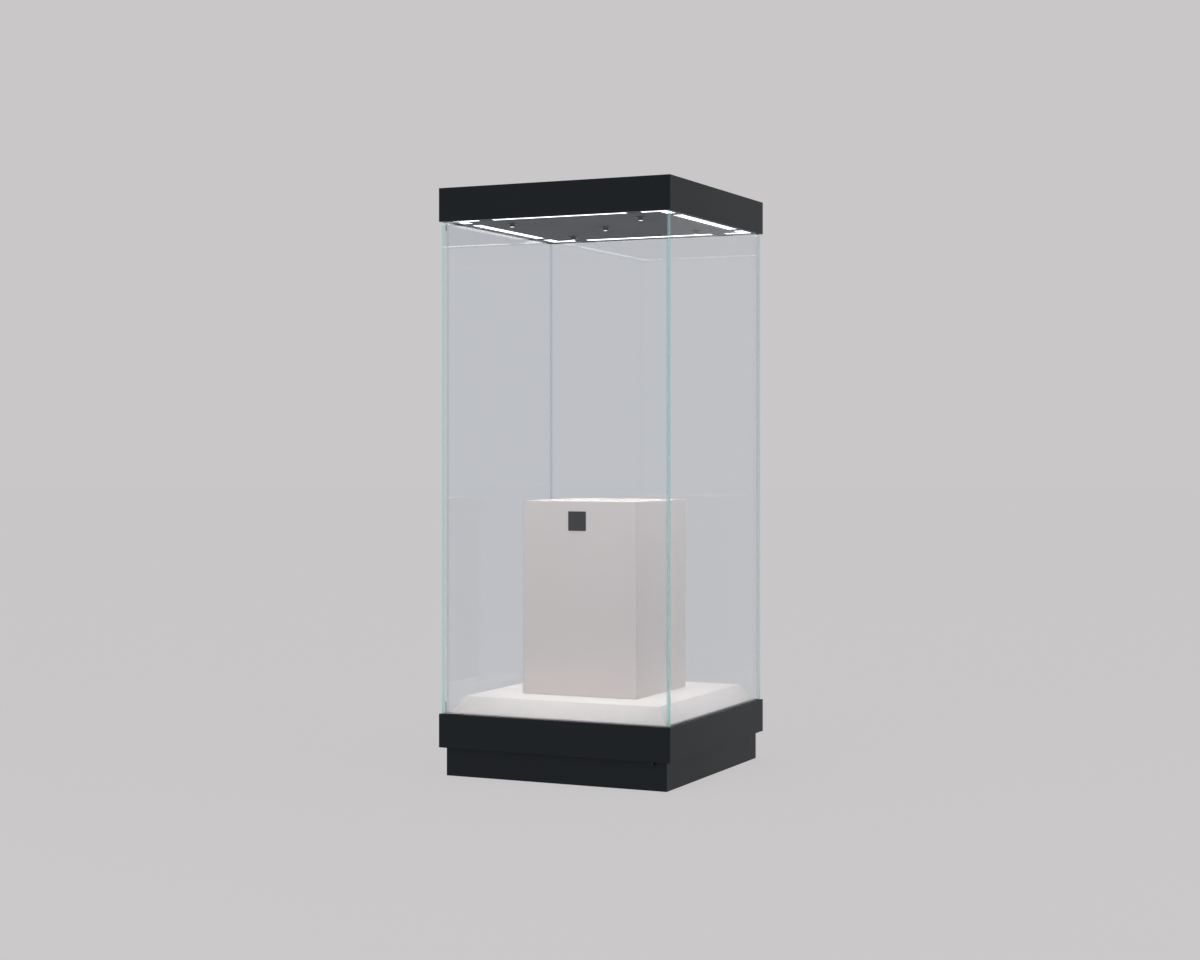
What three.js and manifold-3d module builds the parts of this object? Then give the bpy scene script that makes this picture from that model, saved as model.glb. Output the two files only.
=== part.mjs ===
// A free-standing museum showcase: a glass tower between a lighting hood and a base, with a
// covered display block inside and a frameless glass door across the front.
// Millimetres. +Z is up, -Y is the front, and the origin is on the floor under the middle.

import * as THREE from "three";
import { mergeVertices } from "three/addons/utils/BufferGeometryUtils.js";
import Module from "manifold-3d";

// ---------------------------------------------------------------- driving sizes

const CASE_WIDTH = 900; // across the front
const CASE_DEPTH = 900; // front to back
const TOE_HEIGHT = 102;
const BASE_HEIGHT = 120;
const SIGHT_HEIGHT = 1763; // glass seen between base and hood
const HOOD_HEIGHT = 120;

const SHEET = 2; // steel sheet of the hood and base shells
const GAP = 0.3; // between pieces that touch
const SLACK = 1; // between pieces that are only near each other
const CORNER_RADIUS = 2; // folded upright corners of the shells

const GLASS = 12;
const GLASS_INSET = 8; // shell face to outer glass face
const GLASS_LAP = 20; // depth of a fixed pane inside its channel
const ARRIS = 0.8; // ground corner of a pane's edges
const CHANNEL_WALL = 4; // wall of the glass channel on the inner side
const CHANNEL_WEB = 4; // its wall past the edge of the glass
const BOND = 1.5; // clear joint between two panes

const DOOR_GAP = 3; // door to the right pane behind it
const DOOR_CLEARANCE = 5; // door to hood and base
const HINGE_GAP = 4; // left pane to the door's edge
const PATCH_LENGTH = 60; // pivot patch along the door
const PATCH_THICKNESS = 2.4;
const PATCH_LEG = [3.4, 8]; // from the door's front face, where the patch's leg starts and ends
const PATCH_LEG_LOW = 44; // leg's height at the foot of the door
const PATCH_LEG_HIGH = 33; // and at its top
const PIVOT_INSET = 5; // pivot axis from the door's front face and hinge edge
const PIVOT_RADIUS = 3;
const PIVOT_LENGTH = 16; // pin beyond the patch
const RUNNING = 0.2; // radial clearance of a turning or sliding fit
const BUSH_WALL = 3;
const BUSH_FLANGE_RADIUS = 8;
const SEAL_WIDTH = 3;
const SEAL_DEPTH = 12;

const TOE_INSET = 21;
const TOE_SHEET = 3;
const TOE_FLANGE = 36;
const GUSSET = 90; // side of the plate that carries a foot
const GUSSET_LEVEL = 50;
const GUSSET_THICKNESS = 5;

const FOOT_INSET = 56; // foot's centre from the shell face
const FOOT_PAD_RADIUS = 22.5;
const FOOT_PAD_HEIGHT = 9;
const FOOT_STUD_RADIUS = 5;
const FOOT_STUD_TOP = 84;
const FOOT_NECK_RADIUS = 9;
const FOOT_CHAMFER = 1.5;

const BASE_BOTTOM_FLANGE = 40;
const FRAME_INSET = 24; // base frame's posts and lower rails
const FRAME_BAR = 24;
const FRAME_TOP_RAIL_INSET = 9;
const DECK_PLATE = 3;
const DECK_PLATE_RIM = 22;

const DECK_RISE = 60;
const DECK_CLEARANCE = 1; // deck's edge past the gap at the door's hinge side
const DECK_SLOPE = 45; // run of its sloping edge
const DECK_LIP = 4; // upright foot of the sloping edge

const PLINTH_WIDTH = 450;
const PLINTH_DEPTH = 450;
const PLINTH_HEIGHT = 700;
const PLINTH_WALL = 12;
const PLINTH_TOP = 18;

const PLATE_SIDE = 70;
const PLATE_THICKNESS = 2;
const PLATE_DROP = 36; // plate's top edge below the plinth's top
const PLATE_OFFSET = -8; // plate's middle from the plinth's middle
const PLATE_CORNER = 2;

const CEILING_RECESS = 3; // ceiling above the hood's lower edge
const CEILING_SHEET = 2;
const LAMP_INSET = 33; // outer edge of the light band
const LAMP_WIDTH = 36;
const LAMP_CORNER_LEG = 100;
const LAMP_SPACING = 55; // ceiling left between a corner lamp and a long one
const LAMP_LIP = 3; // diffuser's lip that lies on the ceiling panel
const LAMP_LIP_THICKNESS = 2;
const TRAY_CLEARANCE = 6;
const TRAY_SHEET = 1.5;
const TRAY_HEIGHT = 25;

const SPOT_OFFSET = 255; // outer spots from the middle, each way
const SPOT_WALL = 3.3; // body around the seat of the ball
const SPOT_FLANGE_LAP = 3.5; // flange beyond the body
const SPOT_FLANGE_THICKNESS = 2;
const SPOT_FLANGE_CHAMFER = 1;
const SPOT_BALL_RADIUS = 13;
const SPOT_BALL_LIFT = 3; // ball's centre above the ceiling's underside
const SPOT_SNOUT_RADIUS = 9.5;
const SPOT_SNOUT_REACH = 12; // snout's end below the ceiling
const SPOT_LENS_RADIUS = 8;
const SPOT_LENS_DEPTH = 3;
const SPOT_LENS_CROWN = 0.8; // lens below the snout's rim, at its middle
const SPOT_FIN_COUNT = 3;
const SPOT_FIN_PITCH = 5;
const SPOT_FIN_DEPTH = 3;

const TOP_RECESS = 6; // hood's top plate below its rim
const LID_WIDTH = 640;
const LID_DEPTH = 640;
const LID_LAP = 20; // lid over the edge of its opening
const OPENING_LIP = 10; // turned-down edge of the lid's opening
const LID_SHEET = 2;
const LID_RIM = 12;
const LID_RIM_INSET = 1.5; // rim inside the opening
const LID_CORNER = 4;
const HINGE_RADIUS = 2.6;
const HINGE_PIN_RADIUS = 1.4;
const HINGE_LEAF = 18;
const HINGE_LEAF_THICKNESS = 1.2;
const HINGE_KNUCKLES = 5;
const HINGE_LENGTH = 300;
const LATCH_HEAD_RADIUS = 9;
const LATCH_HEAD_THICKNESS = 2;
const LATCH_BARREL_RADIUS = 6;
const LATCH_BARREL_LENGTH = 14;
const LATCH_SLOT = [10, 1.6, 1]; // length, width, depth
const LATCH_CAM = [34, 10, 2]; // length, width, thickness
const LATCH_SETBACK = 34; // latch's centre from the lid's front edge

const VENT_COUNT = 14;
const VENT_PITCH = 14;
const VENT_WIDTH = 5;
const VENT_HEIGHT = 46;

const BOLT_TRAVEL = 12;
const BOLT_FROM_SIDE = 70; // bolt's centre from the shell's right face
const BOLT_PIN_RADIUS = 2.5;
const BOLT_PIN_INSET = 4.5;
const PLUNGER_RADIUS = 5;
const PLUNGER_INSET = 10.5;
const PLUNGER_TOP = 46; // above the base's underside
const LOCK_WALL = 2;
const LOCK_HEIGHT = 32;
const LOCK_ROSE_RADIUS = 8.5;
const LOCK_ROSE_THICKNESS = 1.2;
const BOLT_ARM = [6, 6]; // width, height of the arm between plunger and pin
const KEYWAY = [6, 1.4, 5]; // length, width, depth

const DRIVER_SIZE = [190, 46, 28];
const DRIVER_TAB = 14; // screw tab at each end of a driver
const DRIVER_TAB_HEIGHT = 3;
const DRIVER_SHOULDER = 5;
const DRIVER_SCREW_RADIUS = 2.2;
const DRIVER_SPREAD = 110; // drivers' middles from the middle of the case
const DRIVER_Y = 190;
const TERMINAL_SIZE = [90, 60, 26];
const TERMINAL_CORNER = 4;
const TERMINAL_ENTRY = [4, 6]; // radius, depth

const INLET_X = 300;
const INLET_FLANGE = [50, 27];
const INLET_FACE = [28, 20.5];
const INLET_SOCKET = [24, 16.5];
const INLET_SOCKET_DEPTH = 15;
const INLET_SOCKET_CHAMFER = 5;
const INLET_BODY_DEPTH = 28;
const INLET_PIN = [2, 11, 4];
const INLET_PIN_SPREAD = 7;
const INLET_PIN_RISE = [-1.5, 2.5, -1.5]; // left, middle and right pins from the middle height

const ROUND = 20; // sides of a turned piece
const SMALL_ROUND = 12;
const CURVE_STEPS = 4; // straight steps round a plan corner

// ---------------------------------------------------------------- levels and edges

const baseBottom = TOE_HEIGHT;
const baseTop = baseBottom + BASE_HEIGHT;
const hoodBottom = baseTop + SIGHT_HEIGHT;
const hoodTop = hoodBottom + HOOD_HEIGHT;
const ceilingLevel = hoodBottom + CEILING_RECESS;
const ceilingTop = ceilingLevel + CEILING_SHEET;
const topPlate = hoodTop - TOP_RECESS;
const deckTop = baseTop + GAP + DECK_RISE;
const plinthTop = deckTop + GAP + PLINTH_HEIGHT;

const halfWidth = CASE_WIDTH / 2;
const halfDepth = CASE_DEPTH / 2;
const glassInner = GLASS_INSET + GLASS;
const channelOuter = SHEET + SLACK;
const channelInner = glassInner + CHANNEL_WALL;
const sideFlange = GLASS_INSET - SLACK;
const frontFlange = channelInner - SHEET;
const doorLow = baseTop + DOOR_CLEARANCE;
const doorHigh = hoodBottom - DOOR_CLEARANCE;
const doorLeft = -halfWidth + glassInner + HINGE_GAP;
const pivotX = doorLeft + PIVOT_INSET;
const pivotY = -halfDepth + GLASS_INSET + PIVOT_INSET;
const pivotToInner = GLASS - PIVOT_INSET;
const hingeSweep = Math.hypot(PIVOT_INSET, pivotToInner) - pivotToInner;
const bushRadius = PIVOT_RADIUS + RUNNING + BUSH_WALL;
const boltX = halfWidth - BOLT_FROM_SIDE;
const seatRadius = SPOT_BALL_RADIUS + RUNNING;
const spotBodyRadius = seatRadius + SPOT_WALL;
const spotFlangeRadius = spotBodyRadius + SPOT_FLANGE_LAP;

// ---------------------------------------------------------------- finishes

function finish(color, roughness, metalness, opacity = 1) {
  const options = { color, roughness, metalness };
  if (opacity < 1) Object.assign(options, { transparent: true, opacity });
  return new THREE.MeshStandardMaterial(options);
}

const blackPaint = finish(0x24272a, 0.55, 0.2);
const ceilingPaint = finish(0x4d5156, 0.6, 0.2);
const clearGlass = finish(0xcfe0e2, 0.03, 0, 0.3);
const clearSeal = finish(0xe6ecec, 0.3, 0, 0.5);
const polishedSteel = finish(0xc9cccd, 0.15, 1);
const bronze = finish(0x9a7440, 0.4, 1);
const aluminium = finish(0xb8bbbd, 0.35, 1);
const zincSteel = finish(0xa7abad, 0.4, 1);
const deckCloth = finish(0xe4e0dc, 0.95, 0);
const plinthCloth = finish(0xbfbab6, 0.92, 0);
const opal = finish(0xffffff, 0.4, 0);
const darkAluminium = finish(0x2b2d30, 0.4, 0.8);
const lensClear = finish(0xf4f6f8, 0.1, 0, 0.8);
const driverPlastic = finish(0xdedfdc, 0.6, 0);
const blackPlastic = finish(0x1b1c1e, 0.5, 0);
const footRubber = finish(0x202122, 0.85, 0);
const plateGrey = finish(0x3a3d3f, 0.5, 0.4);

// ---------------------------------------------------------------- solids

const wasm = await Module();
wasm.setup();

function solid(geometry) {
  const bare = geometry.clone();
  bare.deleteAttribute("normal");
  bare.deleteAttribute("uv");
  const merged = mergeVertices(bare, 1e-4);
  return new wasm.Manifold(
    new wasm.Mesh({
      numProp: 3,
      vertProperties: new Float32Array(merged.attributes.position.array),
      triVerts: new Uint32Array(merged.index.array),
    }),
  );
}

function join(parts) {
  return parts.reduce((whole, part) => whole.add(part));
}

function cut(body, tools) {
  return tools.reduce((left, tool) => left.subtract(tool), body);
}

// A block between two opposite corners.
function block(x0, x1, y0, y1, z0, z1) {
  const geometry = new THREE.BoxGeometry(x1 - x0, y1 - y0, z1 - z0);
  geometry.translate((x0 + x1) / 2, (y0 + y1) / 2, (z0 + z1) / 2);
  return solid(geometry);
}

// A plan outline raised from z0 to z1.
function raised(shape, z0, z1) {
  const geometry = new THREE.ExtrudeGeometry(shape, {
    depth: z1 - z0,
    bevelEnabled: false,
    curveSegments: CURVE_STEPS,
  });
  geometry.translate(0, 0, z0);
  return solid(geometry);
}

// A profile of [radius, height] pairs, from its low end to its high end, turned about Z.
function turned(profile, sides = ROUND) {
  const points = profile.map(([r, z]) => new THREE.Vector2(r, z));
  const geometry = new THREE.LatheGeometry(points, sides);
  geometry.rotateX(Math.PI / 2);
  return solid(geometry);
}

function rod(radius, z0, z1, sides = ROUND) {
  return turned([[0, z0], [radius, z0], [radius, z1], [0, z1]], sides);
}

// [radius, height] pairs along an arc of a circle that is centred on the axis.
function arcPoints(radius, centre, from, to, steps) {
  return Array.from({ length: steps + 1 }, (_, i) => {
    const angle = from + ((to - from) * i) / steps;
    return [radius * Math.cos(angle), centre + radius * Math.sin(angle)];
  });
}

function rectangle(path, x0, x1, y0, y1) {
  path.moveTo(x0, y0);
  path.lineTo(x1, y0);
  path.lineTo(x1, y1);
  path.lineTo(x0, y1);
  path.closePath();
  return path;
}

function roundedRectangle(x0, x1, y0, y1, r) {
  const path = new THREE.Shape();
  path.moveTo(x0 + r, y0);
  path.lineTo(x1 - r, y0);
  path.absarc(x1 - r, y0 + r, r, -Math.PI / 2, 0, false);
  path.lineTo(x1, y1 - r);
  path.absarc(x1 - r, y1 - r, r, 0, Math.PI / 2, false);
  path.lineTo(x0 + r, y1);
  path.absarc(x0 + r, y1 - r, r, Math.PI / 2, Math.PI, false);
  path.lineTo(x0, y0 + r);
  path.absarc(x0 + r, y0 + r, r, Math.PI, 1.5 * Math.PI, false);
  return path;
}

// The case's own outline, moved in by an inset, as a slab.
function slab(inset, z0, z1) {
  return block(-halfWidth + inset, halfWidth - inset, -halfDepth + inset, halfDepth - inset, z0, z1);
}

function roundedSlab(inset, radius, z0, z1) {
  const x = halfWidth - inset;
  const y = halfDepth - inset;
  return raised(roundedRectangle(-x, x, -y, y, radius), z0, z1);
}

// A square frame between two insets.
function frame(outer, inner, z0, z1) {
  return slab(outer, z0, z1).subtract(slab(inner, z0 - 1, z1 + 1));
}

// A bar along the front, between two insets from the front face and from both sides.
function frontBar(side, outer, inner, z0, z1) {
  return block(-halfWidth + side, halfWidth - side, -halfDepth + outer, -halfDepth + inner, z0, z1);
}

const model = new THREE.Group();

function add(name, body, material, parent = model) {
  const data = body.getMesh();
  const positions = new Float32Array(data.numVert * 3);
  for (let i = 0; i < data.numVert; i++) {
    positions.set(data.vertProperties.subarray(i * data.numProp, i * data.numProp + 3), i * 3);
  }
  const geometry = new THREE.BufferGeometry();
  geometry.setAttribute("position", new THREE.BufferAttribute(positions, 3));
  geometry.setIndex(new THREE.BufferAttribute(new Uint32Array(data.triVerts), 1));
  geometry.computeVertexNormals();
  const mesh = new THREE.Mesh(geometry, material);
  mesh.name = name;
  parent.add(mesh);
  return mesh;
}

// ---------------------------------------------------------------- shells

// Folded sheet walls with a return at the end that meets the glass, wider along the front,
// where it covers the door's edge.
function shellWalls(z0, z1, returnLow) {
  const outer = roundedSlab(0, CORNER_RADIUS, z0, z1);
  const walls = outer.subtract(slab(SHEET, z0 - 1, z1 + 1));
  const low = returnLow ? z0 : z1 - SHEET;
  const edge = roundedSlab(0, CORNER_RADIUS, low, low + SHEET);
  const sideReturn = edge.subtract(slab(sideFlange, low - 1, low + SHEET + 1));
  const frontReturn = frontBar(SHEET, 0, frontFlange, low, low + SHEET);
  const slot = leftPaneSlot(low - 1, low + SHEET + 1);
  return join([walls, sideReturn, frontReturn.intersect(edge)]).subtract(slot);
}

// Room for the front end of the left pane, which comes forward to the door's face.
function leftPaneSlot(z0, z1) {
  return block(
    -halfWidth + GLASS_INSET - GAP, -halfWidth + glassInner + GAP,
    -halfDepth + GLASS_INSET - GAP, -halfDepth + channelInner,
    z0, z1,
  );
}

function pivotHole(z0, z1, radius) {
  return rod(radius, z0 - 1, z1 + 1).translate([pivotX, pivotY, 0]);
}

function boltHole(z0, z1) {
  const hole = rod(BOLT_PIN_RADIUS + RUNNING, z0 - 1, z1 + 1);
  return hole.translate([boltX, -halfDepth + BOLT_PIN_INSET, 0]);
}

// Level of the vents and the inlet: the middle of the back wall above the glass channel.
const fittingLevel = (hoodBottom + GLASS_LAP + topPlate) / 2;

function vents() {
  const first = -((VENT_COUNT - 1) * VENT_PITCH) / 2;
  return Array.from({ length: VENT_COUNT }, (_, i) => {
    const x = first + i * VENT_PITCH;
    const low = fittingLevel - VENT_HEIGHT / 2;
    return block(
      x - VENT_WIDTH / 2, x + VENT_WIDTH / 2,
      halfDepth - SHEET - 1, halfDepth + 1,
      low, low + VENT_HEIGHT,
    );
  });
}

const lidOpeningX = LID_WIDTH / 2 - LID_LAP;
const lidOpeningY = LID_DEPTH / 2 - LID_LAP;

function hoodShell() {
  const walls = shellWalls(hoodBottom, hoodTop, true);
  const top = slab(SLACK, topPlate - SHEET, topPlate);
  const opening = block(
    -lidOpeningX, lidOpeningX, -lidOpeningY, lidOpeningY,
    topPlate - SHEET - OPENING_LIP - 1, topPlate + 1,
  );
  const inletCut = block(
    INLET_X - INLET_FACE[0] / 2 - GAP, INLET_X + INLET_FACE[0] / 2 + GAP,
    halfDepth - SHEET - 1, halfDepth + 1,
    fittingLevel - INLET_FACE[1] / 2 - GAP, fittingLevel + INLET_FACE[1] / 2 + GAP,
  );
  const pin = pivotHole(hoodBottom, hoodBottom + SHEET, PIVOT_RADIUS + SLACK);
  const lip = block(
    -lidOpeningX - SHEET, lidOpeningX + SHEET, -lidOpeningY - SHEET, lidOpeningY + SHEET,
    topPlate - SHEET - OPENING_LIP, topPlate - 1,
  );
  return cut(join([walls, top, lip]), [opening, inletCut, pin, ...vents()]);
}

function baseShell() {
  const walls = shellWalls(baseBottom, baseTop, false);
  const foot = roundedSlab(0, CORNER_RADIUS, baseBottom, baseBottom + SHEET);
  const footReturn = foot.subtract(slab(BASE_BOTTOM_FLANGE, baseBottom - 1, baseBottom + SHEET + 1));
  const pin = pivotHole(baseTop - SHEET, baseTop, bushRadius + GAP);
  const bolt = boltHole(baseTop - SHEET, baseTop);
  const lock = rod(PLUNGER_RADIUS + RUNNING + LOCK_WALL + GAP, baseBottom - 1, baseBottom + SHEET + 1)
    .translate([boltX, -halfDepth + PLUNGER_INSET, 0]);
  return cut(walls.add(footReturn), [pin, bolt, lock]);
}

// The frame that holds the fixed panes by their edges: a groove along the sides and the back,
// and a plain bar along the front, which carries the door's pivot.
function glassChannel(atTop) {
  const shellEdge = atTop ? hoodBottom + SHEET + GAP : baseTop - SHEET - GAP;
  const paneEnd = atTop ? hoodBottom + GLASS_LAP : baseTop - GLASS_LAP;
  const away = atTop ? 1 : -1;
  const webEnd = paneEnd + away * CHANNEL_WEB;
  const low = Math.min(shellEdge, webEnd);
  const high = Math.max(shellEdge, webEnd);
  const body = frame(channelOuter, channelInner, low, high);
  const grooveFrom = Math.min(shellEdge - away, paneEnd + away * GAP);
  const grooveTo = Math.max(shellEdge - away, paneEnd + away * GAP);
  const groove = frame(GLASS_INSET - GAP, glassInner + GAP, grooveFrom, grooveTo);
  const frontKept = block(
    -halfWidth + glassInner + GAP, halfWidth,
    -halfDepth, -halfDepth + glassInner + DOOR_GAP - GAP,
    grooveFrom - 1, grooveTo + 1,
  );
  const bores = [pivotHole(low, high, bushRadius + GAP)];
  if (!atTop) bores.push(boltHole(low, high));
  return cut(body, [groove.subtract(frontKept), ...bores]);
}

// ---------------------------------------------------------------- glass

// A pane drawn as an outline across and up, with ground edges, thick along +Z before it is stood up.
function pane(shape) {
  const geometry = new THREE.ExtrudeGeometry(shape, {
    depth: GLASS - 2 * ARRIS,
    bevelEnabled: true,
    bevelThickness: ARRIS,
    bevelSize: ARRIS,
    bevelOffset: -ARRIS,
    bevelSegments: 1,
    curveSegments: CURVE_STEPS,
  });
  geometry.translate(0, 0, ARRIS);
  return geometry;
}

function paneAcross(shape, innerY) {
  const geometry = pane(shape);
  geometry.rotateX(Math.PI / 2);
  geometry.translate(0, innerY, 0);
  return solid(geometry);
}

function doorGlass() {
  const shape = rectangle(
    new THREE.Shape(), doorLeft, halfWidth - GLASS_INSET, doorLow, doorHigh,
  );
  return paneAcross(shape, -halfDepth + glassInner);
}

function backGlass() {
  const side = halfWidth - GLASS_INSET;
  const shape = rectangle(
    new THREE.Shape(), -side, side, baseTop - GLASS_LAP, hoodBottom + GLASS_LAP,
  );
  return paneAcross(shape, halfDepth - GLASS_INSET);
}

const leftPaneFront = -halfDepth + GLASS_INSET;
const rightPaneFront = -halfDepth + glassInner + DOOR_GAP;
const sidePaneBack = halfDepth - glassInner - BOND;

function sideGlass(outerX, front) {
  const shape = rectangle(
    new THREE.Shape(), front, sidePaneBack, baseTop - GLASS_LAP, hoodBottom + GLASS_LAP,
  );
  const geometry = pane(shape);
  geometry.rotateX(Math.PI / 2);
  geometry.rotateZ(Math.PI / 2);
  geometry.translate(outerX, 0, 0);
  return solid(geometry);
}

function cornerBond(side) {
  const outer = side * (halfWidth - GLASS_INSET - ARRIS);
  const inner = side * (halfWidth - glassInner);
  return block(
    Math.min(outer, inner), Math.max(outer, inner),
    sidePaneBack + GAP, sidePaneBack + BOND - GAP,
    baseTop, hoodBottom,
  );
}

// A clear strip on a side pane that closes the gap behind the door. On the hinge side it stands
// back by as much as the door's corner swings inwards, and is as wide as the gap.
function doorSeal(side) {
  const outer = side * (halfWidth - glassInner - GAP);
  const inner = outer - side * (side < 0 ? HINGE_GAP : SEAL_WIDTH);
  const front = -halfDepth + glassInner + GAP + (side < 0 ? hingeSweep : 0);
  return block(
    Math.min(outer, inner), Math.max(outer, inner),
    front, front + SEAL_DEPTH,
    baseTop + DOOR_GAP, hoodBottom - DOOR_GAP,
  );
}

// The patch bonded to the door's upper or lower edge, with the pin that the door turns on and a
// slim leg that stands in the gap beside the door.
function pivotPatch(atTop) {
  const front = -halfDepth + GLASS_INSET;
  const away = atTop ? 1 : -1;
  const doorEnd = atTop ? doorHigh : doorLow;
  const near = doorEnd + away * GAP;
  const far = near + away * PATCH_THICKNESS;
  const legEnd = atTop ? hoodBottom - PATCH_LEG_HIGH : baseTop + PATCH_LEG_LOW;
  const pinEnd = far + away * PIVOT_LENGTH;
  const between = (x0, x1, y0, y1, za, zb) =>
    block(x0, x1, y0, y1, Math.min(za, zb), Math.max(za, zb));
  const legLeft = doorLeft - HINGE_GAP + GAP;
  const legFront = front + PATCH_LEG[0];
  const legBack = front + PATCH_LEG[1];
  const plate = between(doorLeft, doorLeft + PATCH_LENGTH, front, front + GLASS, near, far);
  const bridge = between(legLeft, doorLeft + 1, legFront, legBack, near, far);
  const leg = between(legLeft, doorLeft - GAP, legFront, legBack, legEnd, far);
  const pin = rod(PIVOT_RADIUS, Math.min(near, pinEnd), Math.max(near, pinEnd));
  return join([plate, bridge, leg, pin.translate([pivotX, pivotY, 0])]);
}

// The bush that the pin turns in. The lower one passes up through the base's sheet and ends in
// a flange that carries the door.
function pivotBush(atTop) {
  const reach = GAP + PATCH_THICKNESS + PIVOT_LENGTH + SLACK;
  const low = atTop ? hoodBottom + SHEET + GAP : doorLow - reach;
  const high = atTop ? doorHigh + reach : doorLow - 2 * GAP - PATCH_THICKNESS;
  const sleeve = rod(bushRadius, low, high);
  const body = atTop ? sleeve : sleeve.add(rod(BUSH_FLANGE_RADIUS, baseTop + GAP, high));
  return body
    .subtract(rod(PIVOT_RADIUS + RUNNING, low - 1, high + 1))
    .translate([pivotX, pivotY, 0]);
}

// ---------------------------------------------------------------- base

// A welded frame of bars: a wide upper rail under the glass, posts and a lower rail.
function baseFrame() {
  const innerInset = FRAME_INSET + FRAME_BAR;
  const railTop = baseTop - GLASS_LAP - CHANNEL_WEB - GAP;
  const railLow = railTop - FRAME_BAR;
  const footLow = baseBottom + SHEET + GAP;
  const parts = [
    frame(FRAME_TOP_RAIL_INSET, innerInset, railLow, railTop),
    frame(FRAME_INSET, innerInset, footLow, footLow + FRAME_BAR),
  ];
  const half = FRAME_BAR / 2;
  const postX = halfWidth - FRAME_INSET - half;
  const postY = halfDepth - FRAME_INSET - half;
  for (const [x, y] of [[-1, -1], [0, -1], [1, -1], [-1, 0], [1, 0], [-1, 1], [0, 1], [1, 1]]) {
    const cx = x * postX;
    const cy = y * postY;
    parts.push(block(cx - half, cx + half, cy - half, cy + half, footLow + 1, railTop - 1));
  }
  return join(parts);
}

// The steel floor of the display space, with its edges folded down.
function deckPlate() {
  const inset = channelInner + GAP;
  const plate = slab(inset, baseTop - DECK_PLATE, baseTop);
  return plate.add(frame(inset, inset + SHEET, baseTop - DECK_PLATE_RIM, baseTop - 1));
}

// The covered board on the floor, with a sloping edge all round.
function deckBoard() {
  const low = baseTop + GAP;
  const edge = glassInner + HINGE_GAP + DECK_CLEARANCE;
  const x = halfWidth - edge;
  const y = halfDepth - edge;
  const inX = x - DECK_SLOPE;
  const inY = y - DECK_SLOPE;
  const geometry = new THREE.BoxGeometry(2 * x, 2 * y, deckTop - low - DECK_LIP);
  geometry.translate(0, 0, (deckTop + low + DECK_LIP) / 2);
  const place = geometry.attributes.position;
  for (let i = 0; i < place.count; i++) {
    if (place.getZ(i) < deckTop - 1) continue;
    place.setXY(i, Math.sign(place.getX(i)) * inX, Math.sign(place.getY(i)) * inY);
  }
  return solid(geometry).add(block(-x, x, -y, y, low, low + DECK_LIP));
}

function displayPlinth() {
  const x = PLINTH_WIDTH / 2;
  const y = PLINTH_DEPTH / 2;
  const low = deckTop + GAP;
  const outer = block(-x, x, -y, y, low, plinthTop);
  const hollow = block(
    -x + PLINTH_WALL, x - PLINTH_WALL,
    -y + PLINTH_WALL, y - PLINTH_WALL,
    low - 1, plinthTop - PLINTH_TOP,
  );
  return outer.subtract(hollow);
}

function namePlate() {
  const half = PLATE_SIDE / 2;
  const shape = roundedRectangle(-half, half, -half, half, PLATE_CORNER);
  return raised(shape, 0, PLATE_THICKNESS)
    .rotate([90, 0, 0])
    .translate([PLATE_OFFSET, -PLINTH_DEPTH / 2 - GAP, plinthTop - PLATE_DROP - half]);
}

const footX = halfWidth - FOOT_INSET;
const footY = halfDepth - FOOT_INSET;
const corners = [
  ["front_left", -1, -1],
  ["front_right", 1, -1],
  ["back_left", -1, 1],
  ["back_right", 1, 1],
];

function toeFrame() {
  const top = baseBottom - GAP;
  const parts = [
    frame(TOE_INSET, TOE_INSET + TOE_SHEET, 0, top),
    frame(TOE_INSET, TOE_INSET + TOE_FLANGE, top - TOE_SHEET, top),
  ];
  const holes = [];
  const outerX = halfWidth - TOE_INSET - 1;
  const outerY = halfDepth - TOE_INSET - 1;
  for (const [, sx, sy] of corners) {
    const x = [sx * outerX, sx * (outerX - GUSSET)].sort((a, b) => a - b);
    const y = [sy * outerY, sy * (outerY - GUSSET)].sort((a, b) => a - b);
    parts.push(block(...x, ...y, GUSSET_LEVEL, GUSSET_LEVEL + GUSSET_THICKNESS));
    const hole = rod(FOOT_STUD_RADIUS + RUNNING, GUSSET_LEVEL - 1, GUSSET_LEVEL + GUSSET_THICKNESS + 1);
    holes.push(hole.translate([sx * footX, sy * footY, 0]));
  }
  return cut(join(parts), holes);
}

function levellingFoot() {
  const chamfer = FOOT_CHAMFER;
  const neck = FOOT_NECK_RADIUS;
  return turned([
    [0, 0],
    [FOOT_PAD_RADIUS, 0],
    [FOOT_PAD_RADIUS, FOOT_PAD_HEIGHT - 2 * chamfer],
    [FOOT_PAD_RADIUS - chamfer, FOOT_PAD_HEIGHT - chamfer],
    [neck + chamfer, FOOT_PAD_HEIGHT],
    [neck, FOOT_PAD_HEIGHT + 2 * chamfer],
    [FOOT_STUD_RADIUS, FOOT_PAD_HEIGHT + 2 * chamfer],
    [FOOT_STUD_RADIUS, FOOT_STUD_TOP - chamfer],
    [FOOT_STUD_RADIUS - chamfer, FOOT_STUD_TOP],
    [0, FOOT_STUD_TOP],
  ]);
}

// ---------------------------------------------------------------- door bolt

function lockHousing() {
  const bore = PLUNGER_RADIUS + RUNNING;
  const outer = bore + LOCK_WALL;
  const low = baseBottom - GAP - LOCK_ROSE_THICKNESS;
  const body = join([
    rod(LOCK_ROSE_RADIUS, low, baseBottom - GAP),
    rod(outer, low, baseBottom + LOCK_HEIGHT),
  ]);
  return body
    .subtract(rod(bore, low - 1, baseBottom + LOCK_HEIGHT + 1))
    .translate([boltX, -halfDepth + PLUNGER_INSET, 0]);
}

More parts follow.
